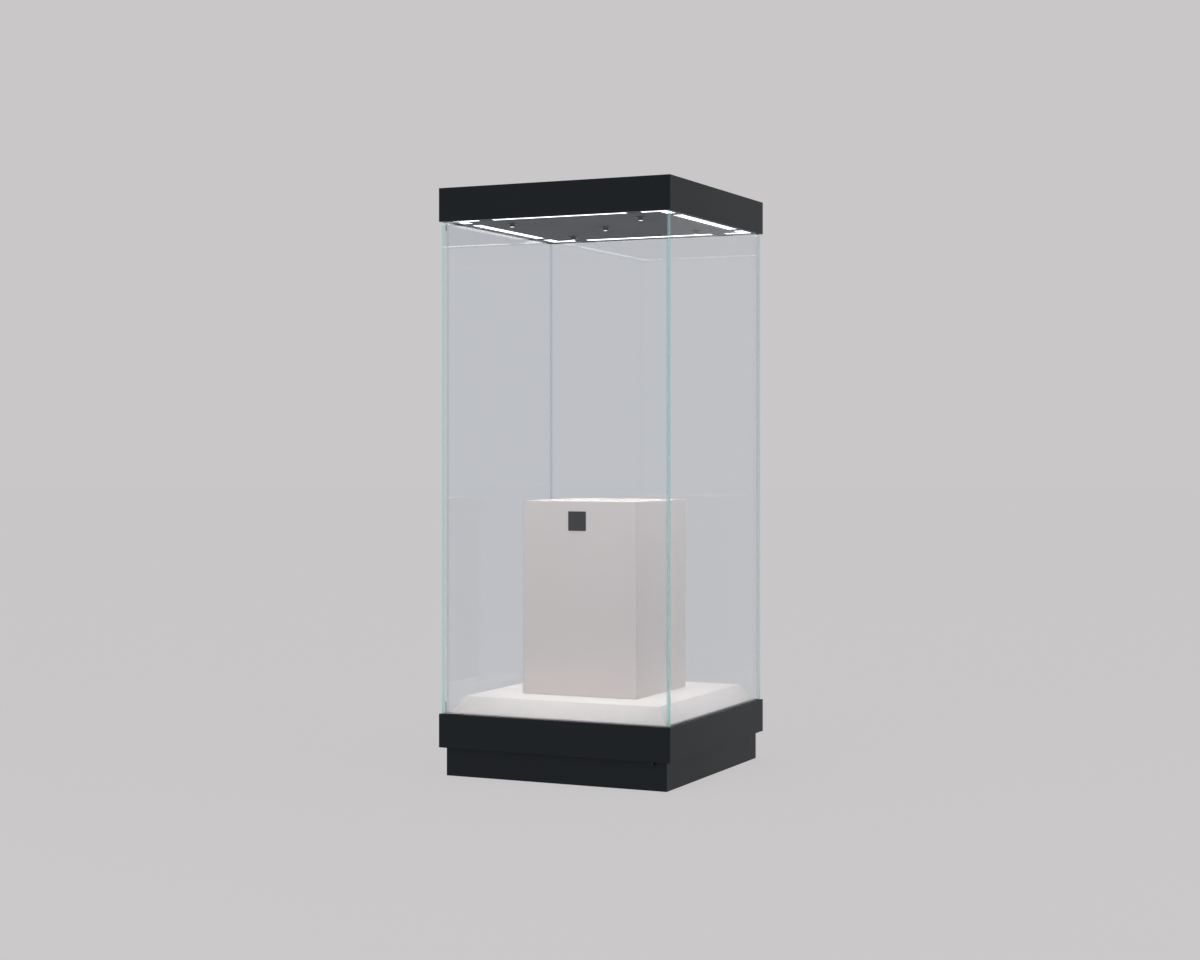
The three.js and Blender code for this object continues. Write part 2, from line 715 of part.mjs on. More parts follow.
// The key plunger, its arm and the pin that rises in front of the door.
function boltPlunger() {
  const [armWidth, armHeight] = BOLT_ARM;
  const keyEnd = baseBottom - LOCK_ROSE_THICKNESS - BOLT_TRAVEL;
  const armLow = baseBottom + LOCK_HEIGHT + SLACK;
  const armHigh = armLow + armHeight;
  const plungerY = -halfDepth + PLUNGER_INSET;
  const pinY = -halfDepth + BOLT_PIN_INSET;
  const plunger = rod(PLUNGER_RADIUS, keyEnd, Math.max(armHigh, baseBottom + PLUNGER_TOP));
  const keyway = block(
    -KEYWAY[0] / 2, KEYWAY[0] / 2, -KEYWAY[1] / 2, KEYWAY[1] / 2, keyEnd - 1, keyEnd + KEYWAY[2],
  );
  const arm = block(
    boltX - armWidth / 2, boltX + armWidth / 2, pinY - 1, plungerY, armLow, armHigh,
  );
  const pin = rod(BOLT_PIN_RADIUS, armLow, baseTop - GAP).translate([boltX, pinY, 0]);
  return join([plunger.subtract(keyway).translate([boltX, plungerY, 0]), arm, pin]);
}

// ---------------------------------------------------------------- lighting

const lampOuterX = halfWidth - LAMP_INSET;
const lampOuterY = halfDepth - LAMP_INSET;
const longLampX = lampOuterX - LAMP_CORNER_LEG - LAMP_SPACING; // half length, front and back
const longLampY = lampOuterY - LAMP_CORNER_LEG - LAMP_SPACING; // half length, left and right

// Outline of a long lamp, grown on every side: "front" and "back" lie along X, the others along Y.
function longLampOutline(path, side, grow) {
  if (side === "front" || side === "back") {
    const sign = side === "front" ? -1 : 1;
    const y = [sign * (lampOuterY + grow), sign * (lampOuterY - LAMP_WIDTH - grow)];
    y.sort((a, b) => a - b);
    return rectangle(path, -longLampX - grow, longLampX + grow, ...y);
  }
  const sign = side === "left" ? -1 : 1;
  const x = [sign * (lampOuterX + grow), sign * (lampOuterX - LAMP_WIDTH - grow)];
  x.sort((a, b) => a - b);
  return rectangle(path, ...x, -longLampY - grow, longLampY + grow);
}

// Outline of an L-shaped corner lamp, grown on every side.
function cornerLampOutline(path, sx, sy, grow) {
  const x = (inset) => sx * (lampOuterX - inset);
  const y = (inset) => sy * (lampOuterY - inset);
  const leg = LAMP_CORNER_LEG + grow;
  const inner = LAMP_WIDTH + grow;
  const points = [
    [x(-grow), y(-grow)],
    [x(leg), y(-grow)],
    [x(leg), y(inner)],
    [x(inner), y(inner)],
    [x(inner), y(leg)],
    [x(-grow), y(leg)],
  ];
  path.moveTo(...points[0]);
  points.slice(1).forEach((point) => path.lineTo(...point));
  path.closePath();
  return path;
}

// An opal diffuser that hangs in its slot of the ceiling panel by a lip.
function diffuser(outline) {
  const face = raised(outline(new THREE.Shape(), -GAP), ceilingLevel + GAP, ceilingTop + 1);
  const lipLow = ceilingTop + GAP;
  const lip = raised(outline(new THREE.Shape(), LAMP_LIP), lipLow, lipLow + LAMP_LIP_THICKNESS);
  return face.add(lip);
}

const spots = [
  ["spot_front_left", -1, -1],
  ["spot_front_right", 1, -1],
  ["spot_centre", 0, 0],
  ["spot_back_left", -1, 1],
  ["spot_back_right", 1, 1],
];

function ceilingPanel() {
  const inset = channelInner + GAP;
  const panel = slab(inset, ceilingLevel, ceilingTop);
  const slots = [
    ...["front", "back", "left", "right"].map((side) => longLampOutline(new THREE.Shape(), side, 0)),
    ...corners.map(([, sx, sy]) => cornerLampOutline(new THREE.Shape(), sx, sy, 0)),
  ];
  const holes = spots.map(([, sx, sy]) =>
    rod(spotBodyRadius + GAP, ceilingLevel - 1, ceilingTop + 1).translate([
      sx * SPOT_OFFSET, sy * SPOT_OFFSET, 0,
    ]),
  );
  return cut(panel, [
    ...slots.map((slot) => raised(slot, ceilingLevel - 1, ceilingTop + 1)),
    ...holes,
  ]);
}

// The folded tray over the light band, open below.
function lightTray() {
  const outer = LAMP_INSET - TRAY_CLEARANCE;
  const inner = LAMP_INSET + LAMP_WIDTH + TRAY_CLEARANCE;
  const low = ceilingTop + GAP;
  const high = low + TRAY_HEIGHT;
  const body = frame(outer, inner, low, high);
  return body.subtract(frame(outer + TRAY_SHEET, inner - TRAY_SHEET, low - 1, high - TRAY_SHEET));
}

const ballCentre = ceilingLevel + SPOT_BALL_LIFT;

// The turning ring of a spotlight: flange below the ceiling, finned body above, ball seat inside.
function spotRing() {
  const flangeTop = ceilingLevel - GAP;
  const flangeLow = flangeTop - SPOT_FLANGE_THICKNESS;
  const bodyTop = ceilingTop + SPOT_FIN_COUNT * SPOT_FIN_PITCH * 2;
  const finLow = bodyTop - SPOT_FIN_COUNT * SPOT_FIN_PITCH;
  const seatFrom = Math.asin((flangeLow - ballCentre) / seatRadius);
  const seat = arcPoints(seatRadius, ballCentre, 0, seatFrom, 2);
  const fins = [];
  for (let i = 0; i < SPOT_FIN_COUNT; i++) {
    const z = finLow + i * SPOT_FIN_PITCH;
    const half = SPOT_FIN_PITCH / 2;
    fins.push([spotBodyRadius, z], [spotBodyRadius - SPOT_FIN_DEPTH, z]);
    fins.push([spotBodyRadius - SPOT_FIN_DEPTH, z + half], [spotBodyRadius, z + half]);
  }
  const roof = ballCentre + seatRadius + SLACK;
  return turned([
    [0, roof],
    [seatRadius, roof],
    ...seat,
    [spotFlangeRadius - SPOT_FLANGE_CHAMFER, flangeLow],
    [spotFlangeRadius, flangeLow + SPOT_FLANGE_CHAMFER],
    [spotFlangeRadius, flangeTop],
    [spotBodyRadius, flangeTop],
    ...fins,
    [spotBodyRadius, bodyTop],
    [0, bodyTop],
  ]);
}

// The tilting ball with its snout.
function spotHead() {
  const snoutLow = ceilingLevel - SPOT_SNOUT_REACH;
  const cap = Math.PI / 3;
  const meet = -Math.acos(SPOT_SNOUT_RADIUS / SPOT_BALL_RADIUS);
  const lensSeat = SPOT_LENS_RADIUS + GAP;
  const ball = arcPoints(SPOT_BALL_RADIUS, ballCentre, meet, cap, 5);
  return turned([
    [0, snoutLow + SPOT_LENS_DEPTH + GAP],
    [lensSeat, snoutLow + SPOT_LENS_DEPTH + GAP],
    [lensSeat, snoutLow],
    [SPOT_SNOUT_RADIUS, snoutLow],
    ...ball,
    [0, ballCentre + SPOT_BALL_RADIUS * Math.sin(cap)],
  ]);
}

function spotLens() {
  const low = ceilingLevel - SPOT_SNOUT_REACH;
  return turned([
    [0, low - SPOT_LENS_CROWN],
    [SPOT_LENS_RADIUS / 2, low - SPOT_LENS_CROWN / 2],
    [SPOT_LENS_RADIUS, low + SPOT_LENS_CROWN],
    [SPOT_LENS_RADIUS, low + SPOT_LENS_DEPTH],
    [0, low + SPOT_LENS_DEPTH],
  ]);
}

// ---------------------------------------------------------------- hood fittings

// A driver case: a long cover with sloping shoulders between two screw tabs.
function driver(x, y) {
  const [length, width, height] = DRIVER_SIZE;
  const half = width / 2;
  const shoulder = DRIVER_SHOULDER;
  const section = new THREE.Shape();
  section.moveTo(-half, 0);
  section.lineTo(half, 0);
  section.lineTo(half, height - shoulder);
  section.lineTo(half - shoulder, height);
  section.lineTo(-half + shoulder, height);
  section.lineTo(-half, height - shoulder);
  section.closePath();
  const cover = raised(section, -length / 2 + DRIVER_TAB, length / 2 - DRIVER_TAB)
    .rotate([90, 0, 90]);
  const tabs = block(-length / 2, length / 2, -half, half, 0, DRIVER_TAB_HEIGHT);
  const holes = [-1, 1].map((side) =>
    rod(DRIVER_SCREW_RADIUS, -1, DRIVER_TAB_HEIGHT + 1, SMALL_ROUND)
      .translate([(side * (length - DRIVER_TAB)) / 2, 0, 0]),
  );
  return cut(cover.add(tabs), holes).translate([x, y, ceilingTop + GAP]);
}

// The box where the supply is joined to the drivers, with entries for the wires.
function terminalBox() {
  const [length, width, height] = TERMINAL_SIZE;
  const [entryRadius, entryDepth] = TERMINAL_ENTRY;
  const x = length / 2;
  const y = width / 2;
  const shape = roundedRectangle(-x, x, -y, y, TERMINAL_CORNER);
  const body = raised(shape, 0, height);
  const entries = [-1, 0, 1].map((step) =>
    rod(entryRadius, 0, entryDepth + 1, SMALL_ROUND)
      .rotate([90, 0, 0])
      .translate([(step * length) / 4, y + 1, height / 2]),
  );
  return cut(body, entries).translate([0, DRIVER_Y + width, ceilingTop + GAP]);
}

// The supply socket in the back of the hood, behind the sheet and level with its face.
function powerInlet() {
  const wallInner = halfDepth - SHEET - GAP;
  const face = halfDepth - GAP;
  const rect = (size, y0, y1) =>
    block(
      INLET_X - size[0] / 2, INLET_X + size[0] / 2, y0, y1,
      fittingLevel - size[1] / 2, fittingLevel + size[1] / 2,
    );
  const body = join([
    rect(INLET_FLANGE, wallInner - SHEET, wallInner),
    rect(INLET_FACE, wallInner - INLET_BODY_DEPTH, face),
  ]);
  const x = INLET_SOCKET[0] / 2;
  const z = INLET_SOCKET[1] / 2;
  const c = INLET_SOCKET_CHAMFER;
  const outline = new THREE.Shape();
  outline.moveTo(-x, -z);
  outline.lineTo(x, -z);
  outline.lineTo(x, z - c);
  outline.lineTo(x - c, z);
  outline.lineTo(-x + c, z);
  outline.lineTo(-x, z - c);
  outline.closePath();
  const socket = raised(outline, 0, INLET_SOCKET_DEPTH + 1)
    .rotate([90, 0, 0])
    .translate([INLET_X, face + 1, fittingLevel]);
  const pins = [-1, 0, 1].map((step) => {
    const px = INLET_X + step * INLET_PIN_SPREAD;
    const pz = fittingLevel + INLET_PIN_RISE[step + 1];
    return block(
      px - INLET_PIN[0] / 2, px + INLET_PIN[0] / 2,
      face - INLET_SOCKET_DEPTH - 1, face - INLET_SOCKET_DEPTH + INLET_PIN[1],
      pz - INLET_PIN[2] / 2, pz + INLET_PIN[2] / 2,
    );
  });
  return join([body.subtract(socket), ...pins]);
}

const lidLow = topPlate + GAP;
const lidTop = lidLow + LID_SHEET;
const hingeY = LID_DEPTH / 2 + HINGE_RADIUS + 2 * GAP;
const hingeZ = topPlate + GAP + HINGE_RADIUS;

// Knuckles along the lid's hinge line: even ones belong to the hood's leaf, odd ones to the lid.
function knuckles(odd) {
  const pitch = HINGE_LENGTH / HINGE_KNUCKLES;
  const parts = [];
  for (let i = odd ? 1 : 0; i < HINGE_KNUCKLES; i += 2) {
    const from = -HINGE_LENGTH / 2 + i * pitch + GAP;
    const barrel = rod(HINGE_RADIUS, from, from + pitch - 2 * GAP, SMALL_ROUND);
    parts.push(barrel.rotate([0, 90, 0]).translate([0, hingeY, hingeZ]));
  }
  return parts;
}

function knuckleStraps(odd, y0, y1, z0, z1) {
  const pitch = HINGE_LENGTH / HINGE_KNUCKLES;
  const parts = [];
  for (let i = odd ? 1 : 0; i < HINGE_KNUCKLES; i += 2) {
    const from = -HINGE_LENGTH / 2 + i * pitch + GAP;
    parts.push(block(from, from + pitch - 2 * GAP, y0, y1, z0, z1));
  }
  return parts;
}

function hoodLid() {
  const x = LID_WIDTH / 2;
  const y = LID_DEPTH / 2;
  const plate = raised(roundedRectangle(-x, x, -y, y, LID_CORNER), lidLow, lidTop);
  const rimX = lidOpeningX - LID_RIM_INSET;
  const rimY = lidOpeningY - LID_RIM_INSET;
  const rim = block(-rimX, rimX, -rimY, rimY, lidLow - LID_RIM, lidLow + 1).subtract(
    block(-rimX + SHEET, rimX - SHEET, -rimY + SHEET, rimY - SHEET, lidLow - LID_RIM - 1, lidLow),
  );
  const straps = knuckleStraps(true, y - 1, hingeY, lidLow, lidTop);
  const pinBore = rod(HINGE_PIN_RADIUS + RUNNING, -HINGE_LENGTH / 2 - 1, HINGE_LENGTH / 2 + 1, SMALL_ROUND)
    .rotate([0, 90, 0])
    .translate([0, hingeY, hingeZ]);
  const latchBore = rod(LATCH_BARREL_RADIUS + RUNNING, lidLow - 1, lidTop + 1)
    .translate([0, -y + LATCH_SETBACK, 0]);
  return cut(join([plate, rim, ...knuckles(true), ...straps]), [pinBore, latchBore]);
}

// The hood's half of the hinge, with the pin fixed in its knuckles.
function lidHinge() {
  const leafLow = topPlate + GAP;
  const leafHigh = leafLow + HINGE_LEAF_THICKNESS;
  const leaf = block(
    -HINGE_LENGTH / 2 + GAP, HINGE_LENGTH / 2 - GAP,
    hingeY + HINGE_RADIUS + GAP, hingeY + HINGE_LEAF, leafLow, leafHigh,
  );
  const straps = knuckleStraps(false, hingeY, hingeY + HINGE_RADIUS + 1, leafLow, leafHigh);
  const pin = rod(HINGE_PIN_RADIUS, -HINGE_LENGTH / 2 + GAP, HINGE_LENGTH / 2 - GAP, SMALL_ROUND)
    .rotate([0, 90, 0])
    .translate([0, hingeY, hingeZ]);
  return join([leaf, pin, ...knuckles(false), ...straps]);
}

// A quarter-turn latch; its tongue lies along the lid's edge when it is free.
function lidLatch() {
  const y = -LID_DEPTH / 2 + LATCH_SETBACK;
  const headLow = lidTop + GAP;
  const barrelLow = lidLow - LATCH_BARREL_LENGTH;
  const headHigh = headLow + LATCH_HEAD_THICKNESS;
  const slotX = LATCH_SLOT[0] / 2;
  const slotY = LATCH_SLOT[1] / 2;
  const slot = block(-slotX, slotX, -slotY, slotY, headHigh - LATCH_SLOT[2], headHigh + 1);
  const head = rod(LATCH_HEAD_RADIUS, headLow, headHigh).subtract(slot);
  const [length, width, thickness] = LATCH_CAM;
  const cam = block(
    -width / 2, length - width / 2, -width / 2, width / 2, barrelLow - thickness, barrelLow + 1,
  );
  return join([head, rod(LATCH_BARREL_RADIUS, barrelLow, headLow + 1), cam]).translate([0, y, 0]);
}

// ---------------------------------------------------------------- the showcase

function buildBase() {
  add("toe_frame", toeFrame(), blackPaint);
  for (const [corner, sx, sy] of corners) {
    const foot = add("foot_" + corner, levellingFoot(), footRubber);
    foot.position.set(sx * footX, sy * footY, 0);
  }
  add("base_shell", baseShell(), blackPaint);
  add("base_frame", baseFrame(), blackPaint);
  add("base_glass_channel", glassChannel(false), aluminium);
  add("deck_plate", deckPlate(), zincSteel);
  add("deck_board", deckBoard(), deckCloth);
  add("display_plinth", displayPlinth(), plinthCloth);
  add("name_plate", namePlate(), plateGrey);
  add("lock_housing", lockHousing(), darkAluminium);
  add("bolt_plunger", boltPlunger(), darkAluminium);
}

function buildGlass() {
  add("door_glass", doorGlass(), clearGlass);
  add("back_glass", backGlass(), clearGlass);
  add("left_glass", sideGlass(-halfWidth + GLASS_INSET, leftPaneFront), clearGlass);
  add("right_glass", sideGlass(halfWidth - glassInner, rightPaneFront), clearGlass);
  add("left_corner_bond", cornerBond(-1), clearSeal);
  add("right_corner_bond", cornerBond(1), clearSeal);
  add("hinge_side_seal", doorSeal(-1), clearSeal);
  add("lock_side_seal", doorSeal(1), clearSeal);
  add("top_pivot_patch", pivotPatch(true), polishedSteel);
  add("bottom_pivot_patch", pivotPatch(false), polishedSteel);
  add("top_pivot_bush", pivotBush(true), bronze);
  add("bottom_pivot_bush", pivotBush(false), bronze);
}

function buildLighting() {
  add("ceiling_panel", ceilingPanel(), ceilingPaint);
  add("light_tray", lightTray(), aluminium);
  for (const side of ["front", "back", "left", "right"]) {
    add("lamp_" + side, diffuser((path, grow) => longLampOutline(path, side, grow)), opal);
  }
  for (const [corner, sx, sy] of corners) {
    const outline = (path, grow) => cornerLampOutline(path, sx, sy, grow);
    add("lamp_corner_" + corner, diffuser(outline), opal);
  }
  for (const [spot, sx, sy] of spots) {
    const group = new THREE.Group();
    group.position.set(sx * SPOT_OFFSET, sy * SPOT_OFFSET, 0);
    add(spot + "_ring", spotRing(), darkAluminium, group);
    add(spot + "_head", spotHead(), darkAluminium, group);
    add(spot + "_lens", spotLens(), lensClear, group);
    model.add(group);
  }
  add("line_driver", driver(-DRIVER_SPREAD, DRIVER_Y), driverPlastic);
  add("spot_driver", driver(DRIVER_SPREAD, DRIVER_Y), driverPlastic);
  add("terminal_box", terminalBox(), driverPlastic);
  add("power_inlet", powerInlet(), blackPlastic);
}

function buildHood() {
  add("hood_shell", hoodShell(), blackPaint);
  add("hood_glass_channel", glassChannel(true), aluminium);
  add("hood_lid", hoodLid(), blackPaint);
  add("lid_hinge", lidHinge(), zincSteel);
  add("lid_latch", lidLatch(), darkAluminium);
}

buildBase();
buildGlass();
buildLighting();
buildHood();

export default model;
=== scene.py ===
"""The looks of a free-standing glass showcase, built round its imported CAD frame.

Metres. +Z is up, -Y is the front, and the origin is on the floor under the middle of the case.
"""

import math

import bmesh
import bpy
from bpy.props import FloatProperty, FloatVectorProperty, IntProperty, PointerProperty
from mathutils import Matrix, Vector


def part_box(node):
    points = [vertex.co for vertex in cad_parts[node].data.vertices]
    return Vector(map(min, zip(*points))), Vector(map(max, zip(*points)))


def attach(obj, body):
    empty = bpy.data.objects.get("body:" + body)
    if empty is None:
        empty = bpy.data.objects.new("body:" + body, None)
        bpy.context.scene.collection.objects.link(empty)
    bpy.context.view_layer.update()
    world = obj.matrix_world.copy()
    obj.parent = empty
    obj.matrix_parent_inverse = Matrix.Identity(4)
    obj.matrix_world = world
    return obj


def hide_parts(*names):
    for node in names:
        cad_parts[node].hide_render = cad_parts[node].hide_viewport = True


bl_info = {
    "name": "Glass Tower Showcase",
    "version": (1, 0, 0),
    "blender": (4, 5, 0),
    "location": "View3D > Sidebar > Showcase",
    "description": "Builds the painted shells, panes, cloth, lamps and fittings of a showcase",
    "category": "Object",
}

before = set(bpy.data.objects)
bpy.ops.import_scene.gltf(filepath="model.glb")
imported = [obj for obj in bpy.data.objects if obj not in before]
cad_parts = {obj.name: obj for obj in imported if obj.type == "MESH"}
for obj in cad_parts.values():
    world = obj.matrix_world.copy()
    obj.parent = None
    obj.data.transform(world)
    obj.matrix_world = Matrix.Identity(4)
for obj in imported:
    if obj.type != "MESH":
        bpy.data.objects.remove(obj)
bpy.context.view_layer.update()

CORNERS = ("front_left", "front_right", "back_left", "back_right")
SPOTS = ("front_left", "front_right", "centre", "back_left", "back_right")
SIDES = ("front", "back", "left", "right")


# ---------------------------------------------------------------- places taken from the frame


def low(node):
    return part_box(node)[0]


def high(node):
    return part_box(node)[1]


def middle(node):
    a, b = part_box(node)
    return (a + b) / 2


BASE_TOP = high("base_shell").z
CEILING = low("ceiling_panel").z


# ---------------------------------------------------------------- fixed sizes, in metres

WELD = 1e-6  # points closer than this are one

DECK_INSET = 0.045  # how far the deck's slope leans in
DECK_LIP = 0.004  # upright edge below the slope
SEAL_EDGE = 0.0009  # rounding of the door's seals
PLATE_EDGE = 0.0005  # rounding of the blank plate

# Screws: places, radius and height of the heads, and how high their seat is over the node's foot
HINGE_SCREWS = (-0.13, -0.078, -0.026, 0.026, 0.078, 0.13)
HINGE_SCREW, HINGE_SCREW_HEIGHT = 0.0034, 0.0018
HINGE_SCREW_SEAT, HINGE_SCREW_INSET = 0.0012, 0.006
DRIVER_SCREW, DRIVER_SCREW_HEIGHT = 0.0036, 0.0022
DRIVER_SCREW_SEAT, DRIVER_SCREW_INSET = 0.003, 0.007
SCREW_STEPS = 20
SCREW_RECESS, SCREW_BAR, SCREW_SINK = 0.5, 0.14, 0.35  # reach, half width and depth, as shares

# Spotlight; the rims are (outwards, up) steps
BALL_CUT = math.pi / 3  # angle at which the ball is cut off at its top
SEAT_GAP = 0.0002  # between the ball and its seat
SEAT_ROOF = 0.001  # free height over the ball
SEAT_STEPS, BALL_STEPS, CROWN_STEPS = 6, 14, 8
MOUTH_CHAMFER = 0.0005
RING_WALL, RING_TOP_CHAMFER = 0.0033, 0.0006
FLANGE_THICK = 0.002
FLANGE_RIM = ((-0.0030, 0), (-0.0026, 0.0002), (-0.0012, 0.0002), (-0.0004, 0.0006), (0, 0.0012))
GROOVE = ((0, 0), (-0.003, 0.0003), (-0.003, 0.0014), (0, 0.0017))
GROOVE_START, GROOVE_PITCH, GROOVE_ROOM = 0.016, 0.0032, 0.003
SNOUT = 0.0095
SNOUT_RIM = (
    (-0.0004, 0), (0, 0.0004), (0, 0.0016), (-0.0004, 0.0019), (-0.0004, 0.0023), (0, 0.0026),
)
LENS_SEAT, LENS_DEPTH, LENS_CHAMFER, LENS_CROWN = 0.0083, 0.0033, 0.0004, 0.0016

# Levelling foot; the pad's rim is (outwards, up) steps, the others are (radius, height)
PAD_RIM = (
    (-0.002, 0), (-0.0005, 0.0006), (0, 0.002), (0, 0.0055), (-0.0006, 0.0072), (-0.002, 0.008),
)
PAD_TOP = ((0.0108, 0.0088), (0.0102, 0.0089), (0, 0.0089))
FOOT_COLLAR = ((0, 0.0091), (0.0088, 0.0091), (0.0088, 0.0112), (0.0082, 0.0118))
STUD, STUD_FOOT, STUD_TIP, STUD_STEPS = 0.005, 0.0118, 0.0838, 24
THREAD_START, THREAD_END, THREAD_PITCH, THREAD_DEPTH = 0.0135, 0.082, 0.0015, 0.0006

FLOOR_DROP, FLOOR_STEPS = 0.0004, 96
CASE_LIGHT_DROP = 0.004


# ---------------------------------------------------------------- sizes and colours to change


def size(name, description, default, **more):
    return FloatProperty(
        name=name, description=description, default=default, unit="LENGTH", precision=5, **more
    )


def tint(name, description, default):
    return FloatVectorProperty(
        name=name, description=description, default=default, subtype="COLOR", size=3, min=0, max=1
    )


class SHOWCASE_PG_shells(bpy.types.PropertyGroup):
    """Painted sheet steel."""

    edge: size("Edge radius", "Radius of the folded and ground edges", 0.0007, min=0.0001)
    paint: tint("Paint", "Colour of the black powder coat", (0.0098, 0.0118, 0.0145))
    ceiling: tint("Ceiling paint", "Colour of the ceiling panel", (0.010, 0.0135, 0.018))
    grain: size("Paint grain", "Distance between the ripples of the powder coat", 0.0016)


class SHOWCASE_PG_glass(bpy.types.PropertyGroup):
    """Panes and their clear joints."""

    arris: size("Arris", "Width of the ground corner along a pane's edge", 0.0008)
    pane: tint("Pane", "Tint of light that passes one face of a pane", (0.967, 0.979, 0.990))
    edge_tint: tint("Edge tint", "Tint of light that passes an edge", (0.78, 0.97, 0.96))
    edge: tint("Edge", "Colour of the polished edges", (0.45, 0.70, 0.69))
    # painted reflection: the edges' colour close to the deck stands in for the white deck reflected
    # in them
    edge_deck_reflection: tint("Edge at the deck", "Colour of the edges close to the deck", (0.25, 0.62, 0.50))
    edge_body: FloatProperty(
        name="Edge body",
        description="Share of an edge that shows its own colour; the rest is seen through",
        default=0.35,
        subtype="FACTOR",
        min=0,
        max=1,
    )
    reflect: FloatProperty(
        name="Reflection",
        description="Share of light that one face reflects straight on",
        default=0.034,
        subtype="FACTOR",
        min=0,
        max=1,
    )


class SHOWCASE_PG_cloth(bpy.types.PropertyGroup):
    """Covers of the deck and of the display block."""

    lift: size("Cover", "Height of the cloth over its board", 0.00024)
    round: size("Wrapped edge", "Radius of the cloth round an edge of its board", 0.0011)
    deck: tint("Deck cloth", "Colour of the deck's cloth", (0.86, 0.81, 0.78))
    deck_pitch: size("Deck weave", "Distance between the deck cloth's threads", 0.0086)
    block: tint("Block cloth", "Colour of the display block's cloth", (0.74, 0.68, 0.655))
    block_pitch: size("Block weave", "Distance between the block cloth's threads", 0.0016)


class SHOWCASE_PG_lamps(bpy.types.PropertyGroup):
    """Light band and spotlights."""

    band: FloatProperty(
        name="Band", description="Brightness of the opal diffusers", default=2.6, min=0
    )
    spots: FloatProperty(
        name="Spots", description="Brightness of the spotlights' lenses", default=1.6, min=0
    )
    turns: IntProperty(
        name="Turning steps", description="Faces round a turned piece", default=48, min=12
    )


class SHOWCASE_PG_studio(bpy.types.PropertyGroup):
    """Camera, lights and floor."""

    eye: FloatVectorProperty(
        name="Camera", description="Place of the camera", default=(3.197, -6.912, 1.171),
        subtype="TRANSLATION", size=3,
    )
    turn: FloatProperty(
        name="Turn", description="Camera's turn from straight ahead",
        default=math.radians(24.974), subtype="ANGLE",
    )
    lens: FloatProperty(name="Lens", description="Focal length in millimetres", default=61.95)
    shift: FloatProperty(name="Shift", description="Vertical shift of the lens", default=-0.0259)
    backdrop: tint("Backdrop", "Colour of the room", (0.584, 0.571, 0.578))
    room: FloatProperty(
        name="Room light", description="Light that the room gives the case", default=1.0, min=0
    )
    floor_reach: size("Floor", "Radius of the floor", 56.0)


GROUPS = {
    "showcase_shells": SHOWCASE_PG_shells,
    "showcase_glass": SHOWCASE_PG_glass,
    "showcase_cloth": SHOWCASE_PG_cloth,
    "showcase_lamps": SHOWCASE_PG_lamps,
    "showcase_studio": SHOWCASE_PG_studio,
}


# ---------------------------------------------------------------- shader maths


class Wire:
    """A socket of a finish, so that sums on it add its Math nodes."""

    def __init__(self, finish, socket):
        self.finish = finish
        self.socket = socket

    def maths(self, operation, *values):
        return self.finish.node("ShaderNodeMath", {"operation": operation}, dict(enumerate(values)))

    def __add__(self, other):
        return self.maths("ADD", self, other)

    def __radd__(self, other):
        return self.maths("ADD", other, self)

    def __sub__(self, other):
        return self.maths("SUBTRACT", self, other)

    def __mul__(self, other):
        return self.maths("MULTIPLY", self, other)

    def __rmul__(self, other):
        return self.maths("MULTIPLY", other, self)

    def __pow__(self, other):
        return self.maths("POWER", self, other)

    def wave(self):
        return self.maths("SINE", self)

    def smooth(self, start, end):
        """0 below start, 1 above end, and smooth between them."""
        settings = {"interpolation_type": "SMOOTHSTEP"}
        values = {"Value": self, "From Min": start, "From Max": end}
        return self.finish.node("ShaderNodeMapRange", settings, values)


class Finish:
    """A material that is written as expressions."""

    def __init__(self, name):
        self.material = bpy.data.materials.new(name)
        self.material.use_nodes = True
        self.tree = self.material.node_tree
        self.tree.nodes.clear()

    def node(self, kind, settings, values, output=0):
        made = self.tree.nodes.new(kind)
        for name, value in settings.items():
            setattr(made, name, value)
        for name, value in values.items():
            if isinstance(value, Wire):
                self.tree.links.new(value.socket, made.inputs[name])
            else:
                made.inputs[name].default_value = value
        return Wire(self, made.outputs[output] if len(made.outputs) else None)

    def place(self):
        return self.node("ShaderNodeTexCoord", {}, {}, "Object")

    def cloth_place(self):
        return self.node("ShaderNodeUVMap", {"uv_map": "weave"}, {}, "UV")

    def axes(self, place):
        values = {"Vector": place}
        return [self.node("ShaderNodeSeparateXYZ", {}, values, axis) for axis in "XYZ"]

    def stretched(self, place, scale):
        return self.node("ShaderNodeMapping", {}, {"Vector": place, "Scale": scale}, "Vector")

    def noise(self, place, pitch, detail=2.0, rough=0.5):
        values = {"Vector": place, "Scale": 1 / pitch, "Detail": detail, "Roughness": rough}
        return self.node("ShaderNodeTexNoise", {}, values, "Fac")

    def cells(self, place, pitch, output="Distance"):
        return self.node("ShaderNodeTexVoronoi", {}, {"Vector": place, "Scale": 1 / pitch}, output)

    def blend(self, share, a, b):
        settings = {"data_type": "RGBA"}
        values = {0: share, 6: colour(a), 7: colour(b)}
        return self.node("ShaderNodeMix", settings, values, 2)

    def bump(self, height, strength, distance):
        values = {"Height": height, "Strength": strength, "Distance": distance}
        return self.node("ShaderNodeBump", {}, values, "Normal")

    def principled(self, **values):
        sockets = {
            name.replace("_", " ").title().replace("Ior", "IOR"): value
            for name, value in values.items()
        }
        for name in ("Base Color", "Emission Color"):
            if name in sockets:
                sockets[name] = colour(sockets[name])
        return self.node("ShaderNodeBsdfPrincipled", {}, sockets, "BSDF")

    def done(self, shader):
        self.node("ShaderNodeOutputMaterial", {}, {"Surface": shader})
        return self.material


def colour(value):
    return value if isinstance(value, Wire) else (*value, 1)


def shade(value, share):
    return tuple(min(1, c * share) for c in value)


# ---------------------------------------------------------------- finishes


